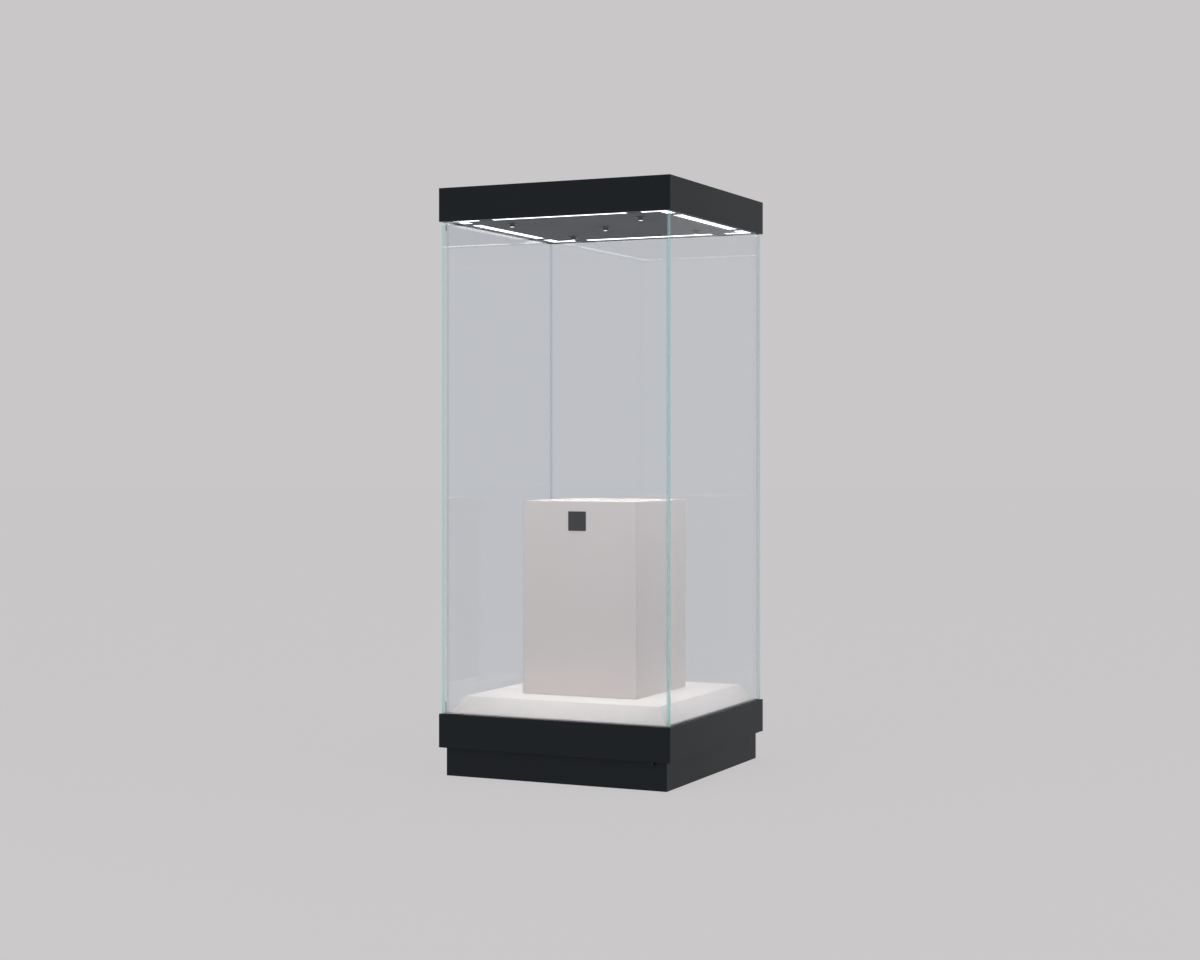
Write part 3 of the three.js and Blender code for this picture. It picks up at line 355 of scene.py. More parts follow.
def painted(name, paint, grain, rough=0.42, speck=0.05):
    """Powder coat: fine ripples, soft clouds in its gloss and a few pale specks of dust."""
    f = Finish(name)
    place = f.place()
    cloud = f.noise(place, pitch=0.35, detail=3)
    ripple = f.noise(place, pitch=grain, detail=2)
    dust = f.cells(place, 0.011).smooth(start=0.035, end=0.0) * speck
    tone = f.blend(cloud, shade(paint, 0.9), shade(paint, 1.12))
    tone = f.blend(dust, tone, shade(paint, 6))
    gloss = rough + 0.10 * (cloud - 0.5) + 0.06 * (ripple - 0.5) + 0.2 * dust
    normal = f.bump(ripple, strength=0.10, distance=0.0001)
    shader = f.principled(
        base_color=tone, roughness=gloss, normal=normal, specular_ior_level=0.18,
        specular_tint=(0.80, 0.90, 1.0, 1.0),
    )
    return f.done(shader)


def clear_pane(name, look):
    """Glass seen straight through, with its mirror share by angle and faint wiping marks."""
    f = Finish(name)
    place = f.place()
    facing = f.node("ShaderNodeLayerWeight", {}, {"Blend": 0.5}, "Facing")
    mirror = look.reflect + (1 - look.reflect) * facing**5.0
    wiped = f.noise(f.stretched(place, (1.0, 1.0, 0.35)), pitch=0.12, detail=3)
    through = f.node("ShaderNodeBsdfTransparent", {}, {"Color": colour(look.pane)})
    gloss = f.node(
        "ShaderNodeBsdfGlossy", {}, {"Color": colour((1, 1, 1)), "Roughness": 0.004 + 0.02 * wiped}
    )
    return f.done(f.node("ShaderNodeMixShader", {}, {0: mirror, 1: through, 2: gloss}))


def pane_edge(name, look):
    """Polished edge of a pane: teal, and greener by the deck, where a reflection of the white deck
    is painted into its colour and share.
    """
    f = Finish(name)
    place = f.place()
    height = f.axes(place)[2]
    lines = f.noise(f.stretched(place, (22.0, 22.0, 0.8)), pitch=0.09, detail=2)
    # painted reflection of the deck: the edge turns greener towards the deck
    deck_reflection_share = height.smooth(start=BASE_TOP + 0.16, end=BASE_TOP)
    tone = f.blend(deck_reflection_share, look.edge, look.edge_deck_reflection)
    tone = f.blend(lines * 0.5, tone, shade(look.edge, 1.35))
    # the painted deck reflection also shows more of the edge's own colour close to the deck
    share = look.edge_body + 0.2 * (lines - 0.5) + 0.3 * deck_reflection_share
    through = f.node("ShaderNodeBsdfTransparent", {}, {"Color": colour(look.edge_tint)})
    body = f.principled(
        base_color=tone, roughness=0.12 + 0.12 * lines,
        normal=f.bump(lines, strength=0.15, distance=0.0002),
        coat_weight=0.4, coat_roughness=0.05,
    )
    return f.done(f.node("ShaderNodeMixShader", {}, {0: share, 1: through, 2: body}))


def bonded_edge(name, look):
    """Edge that is glued or covered, where the light goes on into what stands behind it."""
    f = Finish(name)
    place = f.place()
    cloud = f.noise(f.stretched(place, (1.0, 1.0, 0.1)), pitch=0.02, detail=2)
    through = f.node("ShaderNodeBsdfTransparent", {}, {"Color": colour(shade(look.pane, 0.985))})
    body = f.principled(
        base_color=f.blend(cloud, shade(look.edge, 1.3), shade(look.edge, 1.6)),
        roughness=0.2 + 0.1 * cloud,
    )
    return f.done(f.node("ShaderNodeMixShader", {}, {0: 0.02 + 0.03 * cloud, 1: through, 2: body}))


def clear_rubber(name):
    """Clear seal and glue: mostly see-through, with a soft surface."""
    f = Finish(name)
    place = f.place()
    cloud = f.noise(f.stretched(place, (1.0, 1.0, 0.15)), pitch=0.01, detail=2)
    through = f.node("ShaderNodeBsdfTransparent", {}, {"Color": colour((0.965, 0.972, 0.98))})
    body = f.principled(
        base_color=f.blend(cloud, (0.42, 0.45, 0.47), (0.52, 0.55, 0.57)),
        roughness=0.3 + 0.1 * cloud,
    )
    return f.done(f.node("ShaderNodeMixShader", {}, {0: 0.03 + 0.03 * cloud, 1: through, 2: body}))


def metal(name, tone, rough, stretch=(1.0, 1.0, 1.0), pitch=0.004, depth=0.00003):
    """Bare metal with the lines that its finishing left along one direction."""
    f = Finish(name)
    place = f.place()
    lines = f.noise(f.stretched(place, stretch), pitch=pitch, detail=4, rough=0.65)
    cloud = f.noise(place, pitch=0.05, detail=2)
    shader = f.principled(
        base_color=f.blend(lines, shade(tone, 0.82), shade(tone, 1.12)),
        metallic=1.0,
        roughness=rough + 0.16 * (lines - 0.5) + 0.10 * (cloud - 0.5),
        normal=f.bump(lines, strength=0.2, distance=depth),
    )
    return f.done(shader)


def zinc(name):
    """Zinc plating with its faint crystals."""
    f = Finish(name)
    place = f.place()
    crystal = f.cells(place, 0.012, "Color")
    cloud = f.noise(place, pitch=0.03, detail=3)
    value = f.node("ShaderNodeSeparateColor", {}, {"Color": crystal}, 0)
    shader = f.principled(
        base_color=f.blend(value, (0.40, 0.42, 0.43), (0.56, 0.58, 0.59)),
        metallic=1.0,
        roughness=0.3 + 0.18 * value + 0.1 * cloud,
    )
    return f.done(shader)


def woven(name, tone, pitch, depth, fuzz):
    """Cloth: two sets of threads that pass over each other, uneven in colour and thickness."""
    f = Finish(name)
    across, along, _ = f.axes(f.cloth_place())
    uneven = f.noise(f.cloth_place(), pitch=pitch * 22, detail=3)
    slub = f.noise(f.stretched(f.cloth_place(), (1.0, 0.12, 1.0)), pitch=pitch * 0.9, detail=2)
    beat = 2 * math.pi / pitch
    weft = (across * beat).wave()
    warp = (along * beat).wave()
    knots = 0.5 + 0.5 * (weft * warp)
    dark = f.blend(knots, shade(tone, 1 - fuzz), shade(tone, 1.04))
    mottled = f.blend(uneven * 0.5, dark, shade(tone, 0.93))
    thread = f.blend(slub * 0.35, mottled, shade(tone, 1.1))
    shader = f.principled(
        base_color=thread,
        roughness=0.88 + 0.1 * slub,
        normal=f.bump(knots + 0.5 * slub, strength=0.7, distance=depth),
        specular_ior_level=0.2,
        sheen_weight=0.15,
        sheen_roughness=0.5,
    )
    return f.done(shader)


def board(name):
    """Raw board under the cloth: pressed fibres in a warm brown."""
    f = Finish(name)
    place = f.place()
    fibre = f.noise(place, pitch=0.0018, detail=4, rough=0.7)
    cloud = f.noise(place, pitch=0.06, detail=2)
    tone = f.blend(fibre, (0.30, 0.20, 0.115), (0.46, 0.33, 0.20))
    shader = f.principled(
        base_color=f.blend(cloud * 0.4, tone, (0.36, 0.25, 0.15)),
        roughness=0.8 + 0.1 * fibre, normal=f.bump(fibre, strength=0.4, distance=0.0002),
    )
    return f.done(shader)


def moulded(name, tone, rough, pitch=0.0009):
    """Moulded plastic or rubber with an even fine grain."""
    f = Finish(name)
    place = f.place()
    grain = f.noise(place, pitch=pitch, detail=3)
    cloud = f.noise(place, pitch=0.04, detail=2)
    shader = f.principled(
        base_color=f.blend(cloud, shade(tone, 0.86), shade(tone, 1.12)),
        roughness=rough + 0.12 * (grain - 0.5) + 0.08 * (cloud - 0.5),
        normal=f.bump(grain, strength=0.25, distance=0.00006),
    )
    return f.done(shader)


def opal(name, strength):
    """Opal diffuser lit from behind, a little brighter over each light source."""
    f = Finish(name)
    place = f.place()
    x, y, _ = f.axes(place)
    rows = ((x * 380.0).wave() * (y * 380.0).wave()) * 0.03
    milk = f.noise(place, pitch=0.004, detail=2)
    glow = f.blend(0.5 + rows + 0.06 * (milk - 0.5), (0.90, 0.93, 0.97), (1.0, 1.0, 1.0))
    shader = f.principled(
        base_color=f.blend(milk, (0.82, 0.83, 0.84), (0.90, 0.90, 0.91)),
        roughness=0.35 + 0.1 * milk, emission_color=glow, emission_strength=strength,
    )
    return f.done(shader)


def frosted_lens(name, strength):
    """Frosted lens, brightest where the light source stands behind it."""
    f = Finish(name)
    place = f.place()
    frost = f.noise(place, pitch=0.0008, detail=3)
    ring = f.cells(place, 0.0022)
    glow = f.blend(0.4 + 0.5 * ring, (0.78, 0.80, 0.84), (1.0, 1.0, 1.0))
    shader = f.principled(
        base_color=f.blend(frost, (0.80, 0.82, 0.84), (0.92, 0.93, 0.94)),
        roughness=0.2 + 0.2 * frost, normal=f.bump(ring, strength=0.4, distance=0.0003),
        emission_color=glow, emission_strength=strength,
    )
    return f.done(shader)


def studio_floor(name, look):
    """Pale matt floor in the room's own colour, with a soft shadow under the case."""
    f = Finish(name)
    cloud = f.noise(f.place(), pitch=0.9, detail=2)
    tone = f.blend(cloud, (0.91, 0.91, 0.91), (0.93, 0.93, 0.93))
    matt = f.principled(base_color=tone, roughness=0.95, specular_ior_level=0.0)
    air = f.node("ShaderNodeEmission", {}, {"Color": colour(look.backdrop), "Strength": 1.0})
    return f.done(f.node("ShaderNodeMixShader", {}, {0: 0.9, 1: matt, 2: air}))


METALS = {
    "polished steel": {"tone": (0.62, 0.64, 0.65), "rough": 0.16, "stretch": (1, 1, 0.05)},
    "bronze": {"tone": (0.42, 0.27, 0.12), "rough": 0.34},
    "drawn aluminium": {"tone": (0.55, 0.56, 0.57), "rough": 0.34, "stretch": (0.02, 0.02, 1.0)},
    "dark aluminium": {
        "tone": (0.035, 0.037, 0.040), "rough": 0.38, "stretch": (1, 1, 6.0), "pitch": 0.003,
    },
    "screw steel": {"tone": (0.30, 0.31, 0.32), "rough": 0.3, "pitch": 0.0015},
    "plate": {
        "tone": (0.045, 0.048, 0.052), "rough": 0.42, "stretch": (0.04, 1.0, 1.0), "pitch": 0.002,
    },
}
MOULDINGS = {
    "driver plastic": {"tone": (0.66, 0.66, 0.64), "rough": 0.5},
    "black plastic": {"tone": (0.016, 0.016, 0.018), "rough": 0.42},
    "foot rubber": {"tone": (0.018, 0.018, 0.019), "rough": 0.75, "pitch": 0.0014},
}
FINISHES = {}


def finish(name):
    """One of the case's finishes, made when it is first asked for."""
    if name not in FINISHES:
        scene = bpy.context.scene
        shells, glass = scene.showcase_shells, scene.showcase_glass
        cloth, lamps = scene.showcase_cloth, scene.showcase_lamps
        makers = {
            "black powder coat": lambda n: painted(n, shells.paint, shells.grain),
            "ceiling paint": lambda n: painted(
                n, shells.ceiling, shells.grain, rough=0.5, speck=0.0
            ),
            "clear pane": lambda n: clear_pane(n, glass),
            "pane edge": lambda n: pane_edge(n, glass),
            "bonded edge": lambda n: bonded_edge(n, glass),
            "clear rubber": clear_rubber,
            "deck cloth": lambda n: woven(
                n, cloth.deck, cloth.deck_pitch, depth=0.0012, fuzz=0.42
            ),
            "block cloth": lambda n: woven(
                n, cloth.block, cloth.block_pitch, depth=0.0003, fuzz=0.10
            ),
            "zinc plate": zinc,
            "fibre board": board,
            "opal band": lambda n: opal(n, lamps.band),
            "spot lens": lambda n: frosted_lens(n, lamps.spots),
        }
        for metal_name, look in METALS.items():
            makers[metal_name] = lambda n, look=look: metal(n, **look)
        for moulding_name, look in MOULDINGS.items():
            makers[moulding_name] = lambda n, look=look: moulded(n, **look)
        FINISHES[name] = makers[name](name)
    return FINISHES[name]


# ---------------------------------------------------------------- shaping


def carried(finish_name, *nodes):
    """Gives nodes of the frame a finish."""
    for node in nodes:
        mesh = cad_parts[node].data
        mesh.materials.clear()
        mesh.materials.append(finish(finish_name))


def settled(name, shape, body, finishes, replaced=(), smooth=None, weighted=False):
    """Turns a finished bmesh into a piece that rides on a body."""
    mesh = bpy.data.meshes.new(name)
    shape.to_mesh(mesh)
    shape.free()
    for finish_name in finishes:
        mesh.materials.append(finish(finish_name))
    if smooth is not None:
        mesh.shade_smooth()
        mesh.set_sharp_from_angle(angle=math.radians(smooth))
    piece = bpy.data.objects.new(name, mesh)
    bpy.context.scene.collection.objects.link(piece)
    if weighted:
        piece.modifiers.new("Even shading", "WEIGHTED_NORMAL").keep_sharp = True
    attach(piece, body)
    if replaced:
        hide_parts(*replaced)
    return piece


def bevelled(shape, edges, radius, segments=2):
    bmesh.ops.bevel(
        shape, geom=list(edges), offset=radius, offset_type="OFFSET", segments=segments,
        profile=0.5, affect="EDGES", clamp_overlap=True, material=-1,
    )


def sharp_edges(shape, least=30):
    limit = math.radians(least)
    return [e for e in shape.edges if len(e.link_faces) == 2 and e.calc_face_angle(0) > limit]


def copied(node):
    """A merged copy of a node's mesh, with its flat faces whole again."""
    shape = bmesh.new()
    shape.from_mesh(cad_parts[node].data)
    bmesh.ops.remove_doubles(shape, verts=shape.verts, dist=WELD)
    bmesh.ops.dissolve_limit(
        shape, angle_limit=math.radians(0.5), verts=shape.verts, edges=shape.edges
    )
    return shape


def softened(node, body, finish_name, radius, segments=2, least=40):
    """A node's own shape with its sharp edges rounded, in place of the node."""
    shape = copied(node)
    bevelled(shape, sharp_edges(shape, least), radius, segments)
    return settled(
        node + "_finished", shape, body, [finish_name], [node], smooth=50, weighted=True
    )


def boxed(a, b, radius=0.0):
    """A box between two corners with rounded edges."""
    shape = bmesh.new()
    spread = Matrix.Diagonal((*(b - a), 1))
    bmesh.ops.create_cube(shape, size=1, matrix=Matrix.Translation((a + b) / 2) @ spread)
    if radius:
        bevelled(shape, shape.edges, radius)
    return shape


def turned(profile, steps, centre=(0, 0, 0)):
    """A profile of (radius, height) pairs, turned round the upright line through a point."""
    shape = bmesh.new()
    points = [shape.verts.new((r, 0, z)) for r, z in profile]
    lines = [shape.edges.new(pair) for pair in zip(points, points[1:])]
    bmesh.ops.spin(
        shape, geom=points + lines, cent=(0, 0, 0), axis=(0, 0, 1), dvec=(0, 0, 0),
        angle=2 * math.pi, steps=steps, use_merge=True, use_normal_flip=False, use_duplicate=False,
    )
    bmesh.ops.remove_doubles(shape, verts=shape.verts, dist=WELD)
    bmesh.ops.recalc_face_normals(shape, faces=shape.faces)
    bmesh.ops.translate(shape, verts=shape.verts, vec=Vector(centre))
    return shape


def prism(outline, z0, z1):
    """A plan outline raised between two heights."""
    shape = bmesh.new()
    face = shape.faces.new([shape.verts.new((x, y, z0)) for x, y in outline])
    made = bmesh.ops.extrude_face_region(shape, geom=[face])["geom"]
    moved = [v for v in made if isinstance(v, bmesh.types.BMVert)]
    bmesh.ops.translate(shape, verts=moved, vec=(0, 0, z1 - z0))
    bmesh.ops.recalc_face_normals(shape, faces=shape.faces)
    return shape


def joined(shapes):
    """Several loose shapes as one."""
    whole = bmesh.new()
    for shape in shapes:
        mesh = bpy.data.meshes.new("part")
        shape.to_mesh(mesh)
        shape.free()
        whole.from_mesh(mesh)
        bpy.data.meshes.remove(mesh)
    return whole


def lay_weave(shape):
    """Lays the cloth's threads flat on every face, in metres."""
    layer = shape.loops.layers.uv.new("weave")
    for face in shape.faces:
        n = face.normal
        across = Vector((-n.y, n.x, 0)) if abs(n.z) < 0.98 else Vector((1, 0, 0))
        across.normalize()
        along = n.cross(across)
        for loop in face.loops:
            loop[layer].uv = (loop.vert.co.dot(across), loop.vert.co.dot(along))


def screw(centre, radius, height, turn=0.0):
    """A pan-head screw with a cross recess, pointing up from its seat."""
    shape = turned(
        [(0, 0), (radius, 0), (radius, height * 0.45), (radius * 0.72, height * 0.9), (0, height)],
        SCREW_STEPS,
    )
    recess = radius * SCREW_RECESS
    for bar in (0, 1):
        cutter = Matrix.Rotation(turn + bar * math.pi / 2, 4, "Z")
        for side in (-1, 1):
            normal = cutter @ Vector((0, side, 0))
            bmesh.ops.bisect_plane(
                shape, geom=shape.verts[:] + shape.edges[:] + shape.faces[:],
                plane_co=normal * radius * SCREW_BAR, plane_no=normal,
            )
    cross = [v for v in shape.verts if v.co.z > height * 0.55 and v.co.xy.length < recess]
    bmesh.ops.translate(shape, verts=cross, vec=(0, 0, -height * SCREW_SINK))
    bmesh.ops.translate(shape, verts=shape.verts, vec=Vector(centre))
    return shape


# ---------------------------------------------------------------- pieces: shells


def build_shells(look):
    edge = look.edge
    softened("hood_shell", "case", "black powder coat", edge)
    softened("base_shell", "case", "black powder coat", edge)
    softened("toe_frame", "case", "black powder coat", edge)


def build_structure():
    carried("drawn aluminium", "hood_glass_channel", "base_glass_channel")
    carried("black powder coat", "base_frame")
    carried("zinc plate", "deck_plate")


# ---------------------------------------------------------------- pieces: glass


def upright_pane(outline, across, out_low, out_high, look, bonded):
    """A pane drawn as an outline of (along, up), between two distances across, ground all round.
    Its edges that face along the directions in bonded have the third finish."""
    shape = prism(outline, out_low, out_high)
    turn = Matrix(((1, 0, 0, 0), (0, 0, 1, 0), (0, 1, 0, 0), (0, 0, 0, 1)))
    if across == "X":
        turn = Matrix(((0, 0, 1, 0), (1, 0, 0, 0), (0, 1, 0, 0), (0, 0, 0, 1)))
    bmesh.ops.transform(shape, matrix=turn, verts=shape.verts)
    bmesh.ops.recalc_face_normals(shape, faces=shape.faces)
    axis = 0 if across == "X" else 1
    rim = [
        e for e in shape.edges
        if sorted(abs(f.normal[axis]) > 0.5 for f in e.link_faces) == [False, True]
    ]
    bevelled(shape, rim, look.arris)
    shape.normal_update()
    for face in shape.faces:
        face.material_index = 0 if abs(face.normal[axis]) > 0.999 else 1
        if any(face.normal.dot(Vector(way)) > 0.3 for way in bonded):
            face.material_index = 2
    return shape


def rectangle(a0, a1, b0, b1):
    return [(a0, b0), (a1, b0), (a1, b1), (a0, b1)]


def build_panes(look):
    finishes = ["clear pane", "pane edge", "bonded edge"]
    left, back, up, down = (-1, 0, 0), (0, 1, 0), (0, 0, 1), (0, 0, -1)
    a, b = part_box("back_glass")
    shape = upright_pane(rectangle(a.x, b.x, a.z, b.z), "Y", a.y, b.y, look, [left, up, down])
    settled("back_pane", shape, "case", finishes, ["back_glass"])
    for side in ("left", "right"):
        a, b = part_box(side + "_glass")
        shape = upright_pane(
            rectangle(a.y, b.y, a.z, b.z), "X", a.x, b.x, look, [back, up, down]
        )
        settled(side + "_pane", shape, "case", finishes, [side + "_glass"])
    a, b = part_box("door_glass")
    shape = upright_pane(rectangle(a.x, b.x, a.z, b.z), "Y", a.y, b.y, look, [left, up, down])
    settled("door_pane", shape, "door", finishes, ["door_glass"])


def build_joints():
    for node in ("left_corner_bond", "right_corner_bond"):
        a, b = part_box(node)
        settled(node + "_glue", boxed(a, b), "case", ["clear rubber"], [node])
    for node in ("hinge_side_seal", "lock_side_seal"):
        a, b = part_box(node)
        shape = boxed(a, b, SEAL_EDGE)
        settled(node + "_strip", shape, "case", ["clear rubber"], [node], smooth=50)


def build_pivots():
    for end in ("top", "bottom"):
        softened(end + "_pivot_patch", "door", "polished steel", 0.0005, 3)
        softened(end + "_pivot_bush", "case", "bronze", 0.0003)


# ---------------------------------------------------------------- pieces: deck and block


def cover(a, b, inset, lip, lift, radius):
    """Cloth over a board: its sides lean in by inset above an upright lip, and its foot is open."""
    shape = bmesh.new()
    grown = Vector((lift, lift, 0))
    a, b = a - grown, b + grown + Vector((0, 0, lift))
    spread = Matrix.Diagonal((b.x - a.x, b.y - a.y, b.z - a.z, 1))
    bmesh.ops.create_cube(shape, size=1, matrix=Matrix.Translation((a + b) / 2) @ spread)
    if inset:
        bmesh.ops.bisect_plane(
            shape, geom=shape.verts[:] + shape.edges[:] + shape.faces[:],
            plane_co=(0, 0, a.z + lip), plane_no=(0, 0, 1),
        )
        for v in shape.verts:
            if v.co.z > b.z - 1e-5:
                v.co.x -= math.copysign(inset, v.co.x)
                v.co.y -= math.copysign(inset, v.co.y)
    foot = [f for f in shape.faces if f.normal.z < -0.9]
    bmesh.ops.delete(shape, geom=foot, context="FACES")
    shape.normal_update()
    bevelled(shape, sharp_edges(shape, 10), radius, 3)
    shape.normal_update()
    lay_weave(shape)
    return shape


def build_deck(look):
    a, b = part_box("deck_board")
    shape = cover(a, b, DECK_INSET, DECK_LIP, look.lift, look.round)
    piece = settled("deck_cover", shape, "case", ["deck cloth"], smooth=60)
    carried("fibre board", "deck_board")


def build_block(look):
    a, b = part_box("display_plinth")
    shape = cover(a, b, 0, 0, look.lift, look.round)
    piece = settled("block_cover", shape, "case", ["block cloth"], smooth=60)
    carried("fibre board", "display_plinth")
    a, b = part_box("name_plate")
    settled(
        "blank_plate", boxed(a, b, PLATE_EDGE), "case", ["plate"], ["name_plate"],
        smooth=50, weighted=True,
    )


# ---------------------------------------------------------------- pieces: lighting


def build_ceiling():
    carried("ceiling paint", "ceiling_panel")
    carried("drawn aluminium", "light_tray")
    for node in ["lamp_" + side for side in SIDES] + ["lamp_corner_" + c for c in CORNERS]:
        softened(node, "case", "opal band", 0.0004)


def arc(radius, height, start, span, steps):
    """Points (radius, height) of an arc round (0, height), from one angle over a span."""
    turns = [start + span * i / steps for i in range(steps + 1)]
    return [(radius * math.cos(t), height + radius * math.sin(t)) for t in turns]


def ring_profile(seat, pivot, flange, bottom, top):
    """Turning ring: a round seat, a thin flange below the ceiling and grooves to cool it."""
    body = seat + RING_WALL
    flange_top = bottom + FLANGE_THICK
    roof = pivot + seat + SEAT_ROOF
    reach = math.asin((bottom - pivot) / seat)
    profile = [(0, roof), (seat, roof)] + arc(seat, pivot, 0, reach, SEAT_STEPS)
    profile.append((profile[-1][0] + MOUTH_CHAMFER, bottom))
    profile += [(flange + out, bottom + up) for out, up in FLANGE_RIM]
    profile += [(flange, flange_top), (body, flange_top)]
    groove = flange_top + GROOVE_START
    while groove + GROOVE_ROOM < top:
        profile += [(body + out, groove + up) for out, up in GROOVE]
        groove += GROOVE_PITCH
    return profile + [(body, top - RING_TOP_CHAMFER), (body - RING_TOP_CHAMFER, top), (0, top)]


def head_profile(ball, pivot, bottom):
    """Tilting ball with its snout and the recess for the lens."""
    recess = bottom + LENS_DEPTH
    profile = [
        (0, recess), (LENS_SEAT, recess), (LENS_SEAT, bottom + LENS_CHAMFER),
        (LENS_SEAT + LENS_CHAMFER, bottom),
    ]
    profile += [(SNOUT + out, bottom + up) for out, up in SNOUT_RIM]
    meet = -math.acos(SNOUT / ball)
    profile += arc(ball, pivot, meet, BALL_CUT - meet, BALL_STEPS)
    return profile + [(0, pivot + ball * math.sin(BALL_CUT))]


def build_spot(name, steps):
    ring, head, lens = (f"spot_{name}_{part}" for part in ("ring", "head", "lens"))
    centre = middle(ring)
    place = (centre.x, centre.y, 0)
    ball = (high(head).x - low(head).x) / 2
    pivot = high(head).z - ball * math.sin(BALL_CUT)
    flange = (high(ring).x - low(ring).x) / 2
    profile = ring_profile(ball + SEAT_GAP, pivot, flange, low(ring).z, high(ring).z)
    settled(
        f"spot_{name}_turning_ring", turned(profile, steps, place), ring,
        ["dark aluminium"], [ring], smooth=32,
    )
    profile = head_profile(ball, pivot, low(head).z)
    settled(
        f"spot_{name}_ball", turned(profile, steps, place), head,
        ["dark aluminium"], [head], smooth=32,
    )
    a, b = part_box(lens)
    radius = (b.x - a.x) / 2
    turns = [math.pi / 2 * i / CROWN_STEPS for i in range(CROWN_STEPS + 1)]
    crown = [(radius * math.sin(t), a.z + LENS_CROWN * (1 - math.cos(t))) for t in turns]
    settled(
        f"spot_{name}_glass", turned(crown + [(radius, b.z), (0, b.z)], steps, place),
        head, ["spot lens"], [lens], smooth=50,
    )


# ---------------------------------------------------------------- pieces: lock, lid, supply, feet


def build_lock():
    softened("lock_housing", "case", "dark aluminium", 0.0004)
    softened("bolt_plunger", "bolt", "dark aluminium", 0.0002)


def build_lid(look):
    softened("hood_lid", "hood_lid", "black powder coat", look.edge)
    softened("lid_hinge", "case", "zinc plate", 0.0002)
    softened("lid_latch", "lid_latch", "dark aluminium", 0.0003)
    a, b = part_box("lid_hinge")
    y, seat = b.y - HINGE_SCREW_INSET, a.z + HINGE_SCREW_SEAT
    screws = [
        screw((x, y, seat), HINGE_SCREW, HINGE_SCREW_HEIGHT, turn=x * 9) for x in HINGE_SCREWS
    ]
    settled("hinge_screws", joined(screws), "case", ["screw steel"], smooth=35)


def build_supply():
    for node in ("line_driver", "spot_driver"):
        softened(node, "case", "driver plastic", 0.0008, 3, 30)
        a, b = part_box(node)
        y, seat = (a.y + b.y) / 2, a.z + DRIVER_SCREW_SEAT
        screws = [
            screw((x, y, seat), DRIVER_SCREW, DRIVER_SCREW_HEIGHT, turn=0.4)
            for x in (a.x + DRIVER_SCREW_INSET, b.x - DRIVER_SCREW_INSET)
        ]
        settled(node + "_screws", joined(screws), "case", ["screw steel"], smooth=35)
    softened("terminal_box", "case", "driver plastic", 0.0008, 3, 30)
    softened("power_inlet", "case", "black plastic", 0.0003)


def build_foot(corner, steps):
    node = "foot_" + corner
    a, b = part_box(node)
    x, y, _ = middle(node)
    pad = (b.x - a.x) / 2
    profile = [(0, 0)] + [(pad + out, up) for out, up in PAD_RIM] + list(PAD_TOP)
    settled(
        node + "_pad", turned(profile, steps, (x, y, a.z)), node, ["foot rubber"],
        [node], smooth=35,
    )
    profile = list(FOOT_COLLAR) + [(STUD, STUD_FOOT)]
    z = THREAD_START
    while z < THREAD_END:
        profile += [(STUD, z), (STUD - THREAD_DEPTH, z + THREAD_PITCH / 2)]
        z += THREAD_PITCH
    profile += [(STUD - 2 * THREAD_DEPTH, STUD_TIP), (0, STUD_TIP)]
    settled(
        node + "_stud", turned(profile, STUD_STEPS, (x, y, a.z)), node,
        ["zinc plate"], smooth=20,
    )


# ---------------------------------------------------------------- stage


def softbox(name, place, target, power, reach, tone, spread=180):
    """A soft light that shows neither to the camera nor in the panes; its spread is in degrees."""
    data = bpy.data.lights.new(name, "AREA")
    data.energy = power
    data.color = tone
    data.shape = "RECTANGLE"
    data.size, data.size_y = reach
    data.spread = math.radians(spread)
    light = bpy.data.objects.new(name, data)
    light.location = place
    light.rotation_euler = (Vector(target) - Vector(place)).to_track_quat("-Z", "Y").to_euler()
    light.visible_camera = False
    light.visible_glossy = False
    light.visible_transmission = False
    bpy.context.scene.collection.objects.link(light)


def build_studio(look):
    scene = bpy.context.scene
    camera = bpy.data.objects.new("camera", bpy.data.cameras.new("camera"))
    camera.data.lens = look.lens
    camera.data.sensor_width = 36
    camera.data.shift_y = look.shift
    camera.data.clip_end = 200
    camera.location = look.eye
    camera.rotation_euler = (math.pi / 2, 0, look.turn)
    scene.collection.objects.link(camera)
    scene.camera = camera
    scene.view_settings.view_transform = "Standard"

    world = bpy.data.worlds.new("room")
    scene.world = world
    world.use_nodes = True
    tree = world.node_tree
    tree.nodes.clear()
    room = tree.nodes.new("ShaderNodeBackground")
    room.inputs["Color"].default_value = colour(look.backdrop)
    room.inputs["Strength"].default_value = look.room
    out = tree.nodes.new("ShaderNodeOutputWorld")
    tree.links.new(room.outputs[0], out.inputs["Surface"])

    softbox(
        "right softbox", place=(5.2, -1.2, 2.4), target=(0, 0, 1.05), power=34,
        reach=(2.6, 2.6), tone=(0.93, 0.97, 1.0),
    )
    softbox(
        "front softbox", place=(-1.5, -5.6, 1.6), target=(0, 0, 0.5), power=52,
        reach=(2.4, 2.4), tone=(1.0, 0.98, 0.97),
    )
    softbox(
        "case light", place=(0, 0, CEILING - CASE_LIGHT_DROP), target=(0, 0, 0), power=2.4,
        reach=(0.85, 0.85), tone=(1.0, 0.985, 0.97), spread=24,
    )

    shape = bmesh.new()
    bmesh.ops.create_circle(
        shape, cap_ends=True, segments=FLOOR_STEPS, radius=look.floor_reach,
        matrix=Matrix.Translation((0, 0, -FLOOR_DROP)),
    )
    mesh = bpy.data.meshes.new("floor")
    shape.to_mesh(mesh)
    shape.free()
    mesh.materials.append(studio_floor("studio floor", look))
    floor = bpy.data.objects.new("floor", mesh)
    scene.collection.objects.link(floor)


# ---------------------------------------------------------------- operators


class SHOWCASE_OT_studio(bpy.types.Operator):
    """Set the camera, the studio light, the backdrop and the floor"""

    bl_idname = "showcase.studio"
    bl_label = "Studio"

    def execute(self, context):
        build_studio(context.scene.showcase_studio)
        return {"FINISHED"}


class SHOWCASE_OT_shells(bpy.types.Operator):
    """Make the painted hood, base and toe frame"""

    bl_idname = "showcase.shells"
    bl_label = "Shells"

    def execute(self, context):
        build_shells(context.scene.showcase_shells)
        return {"FINISHED"}


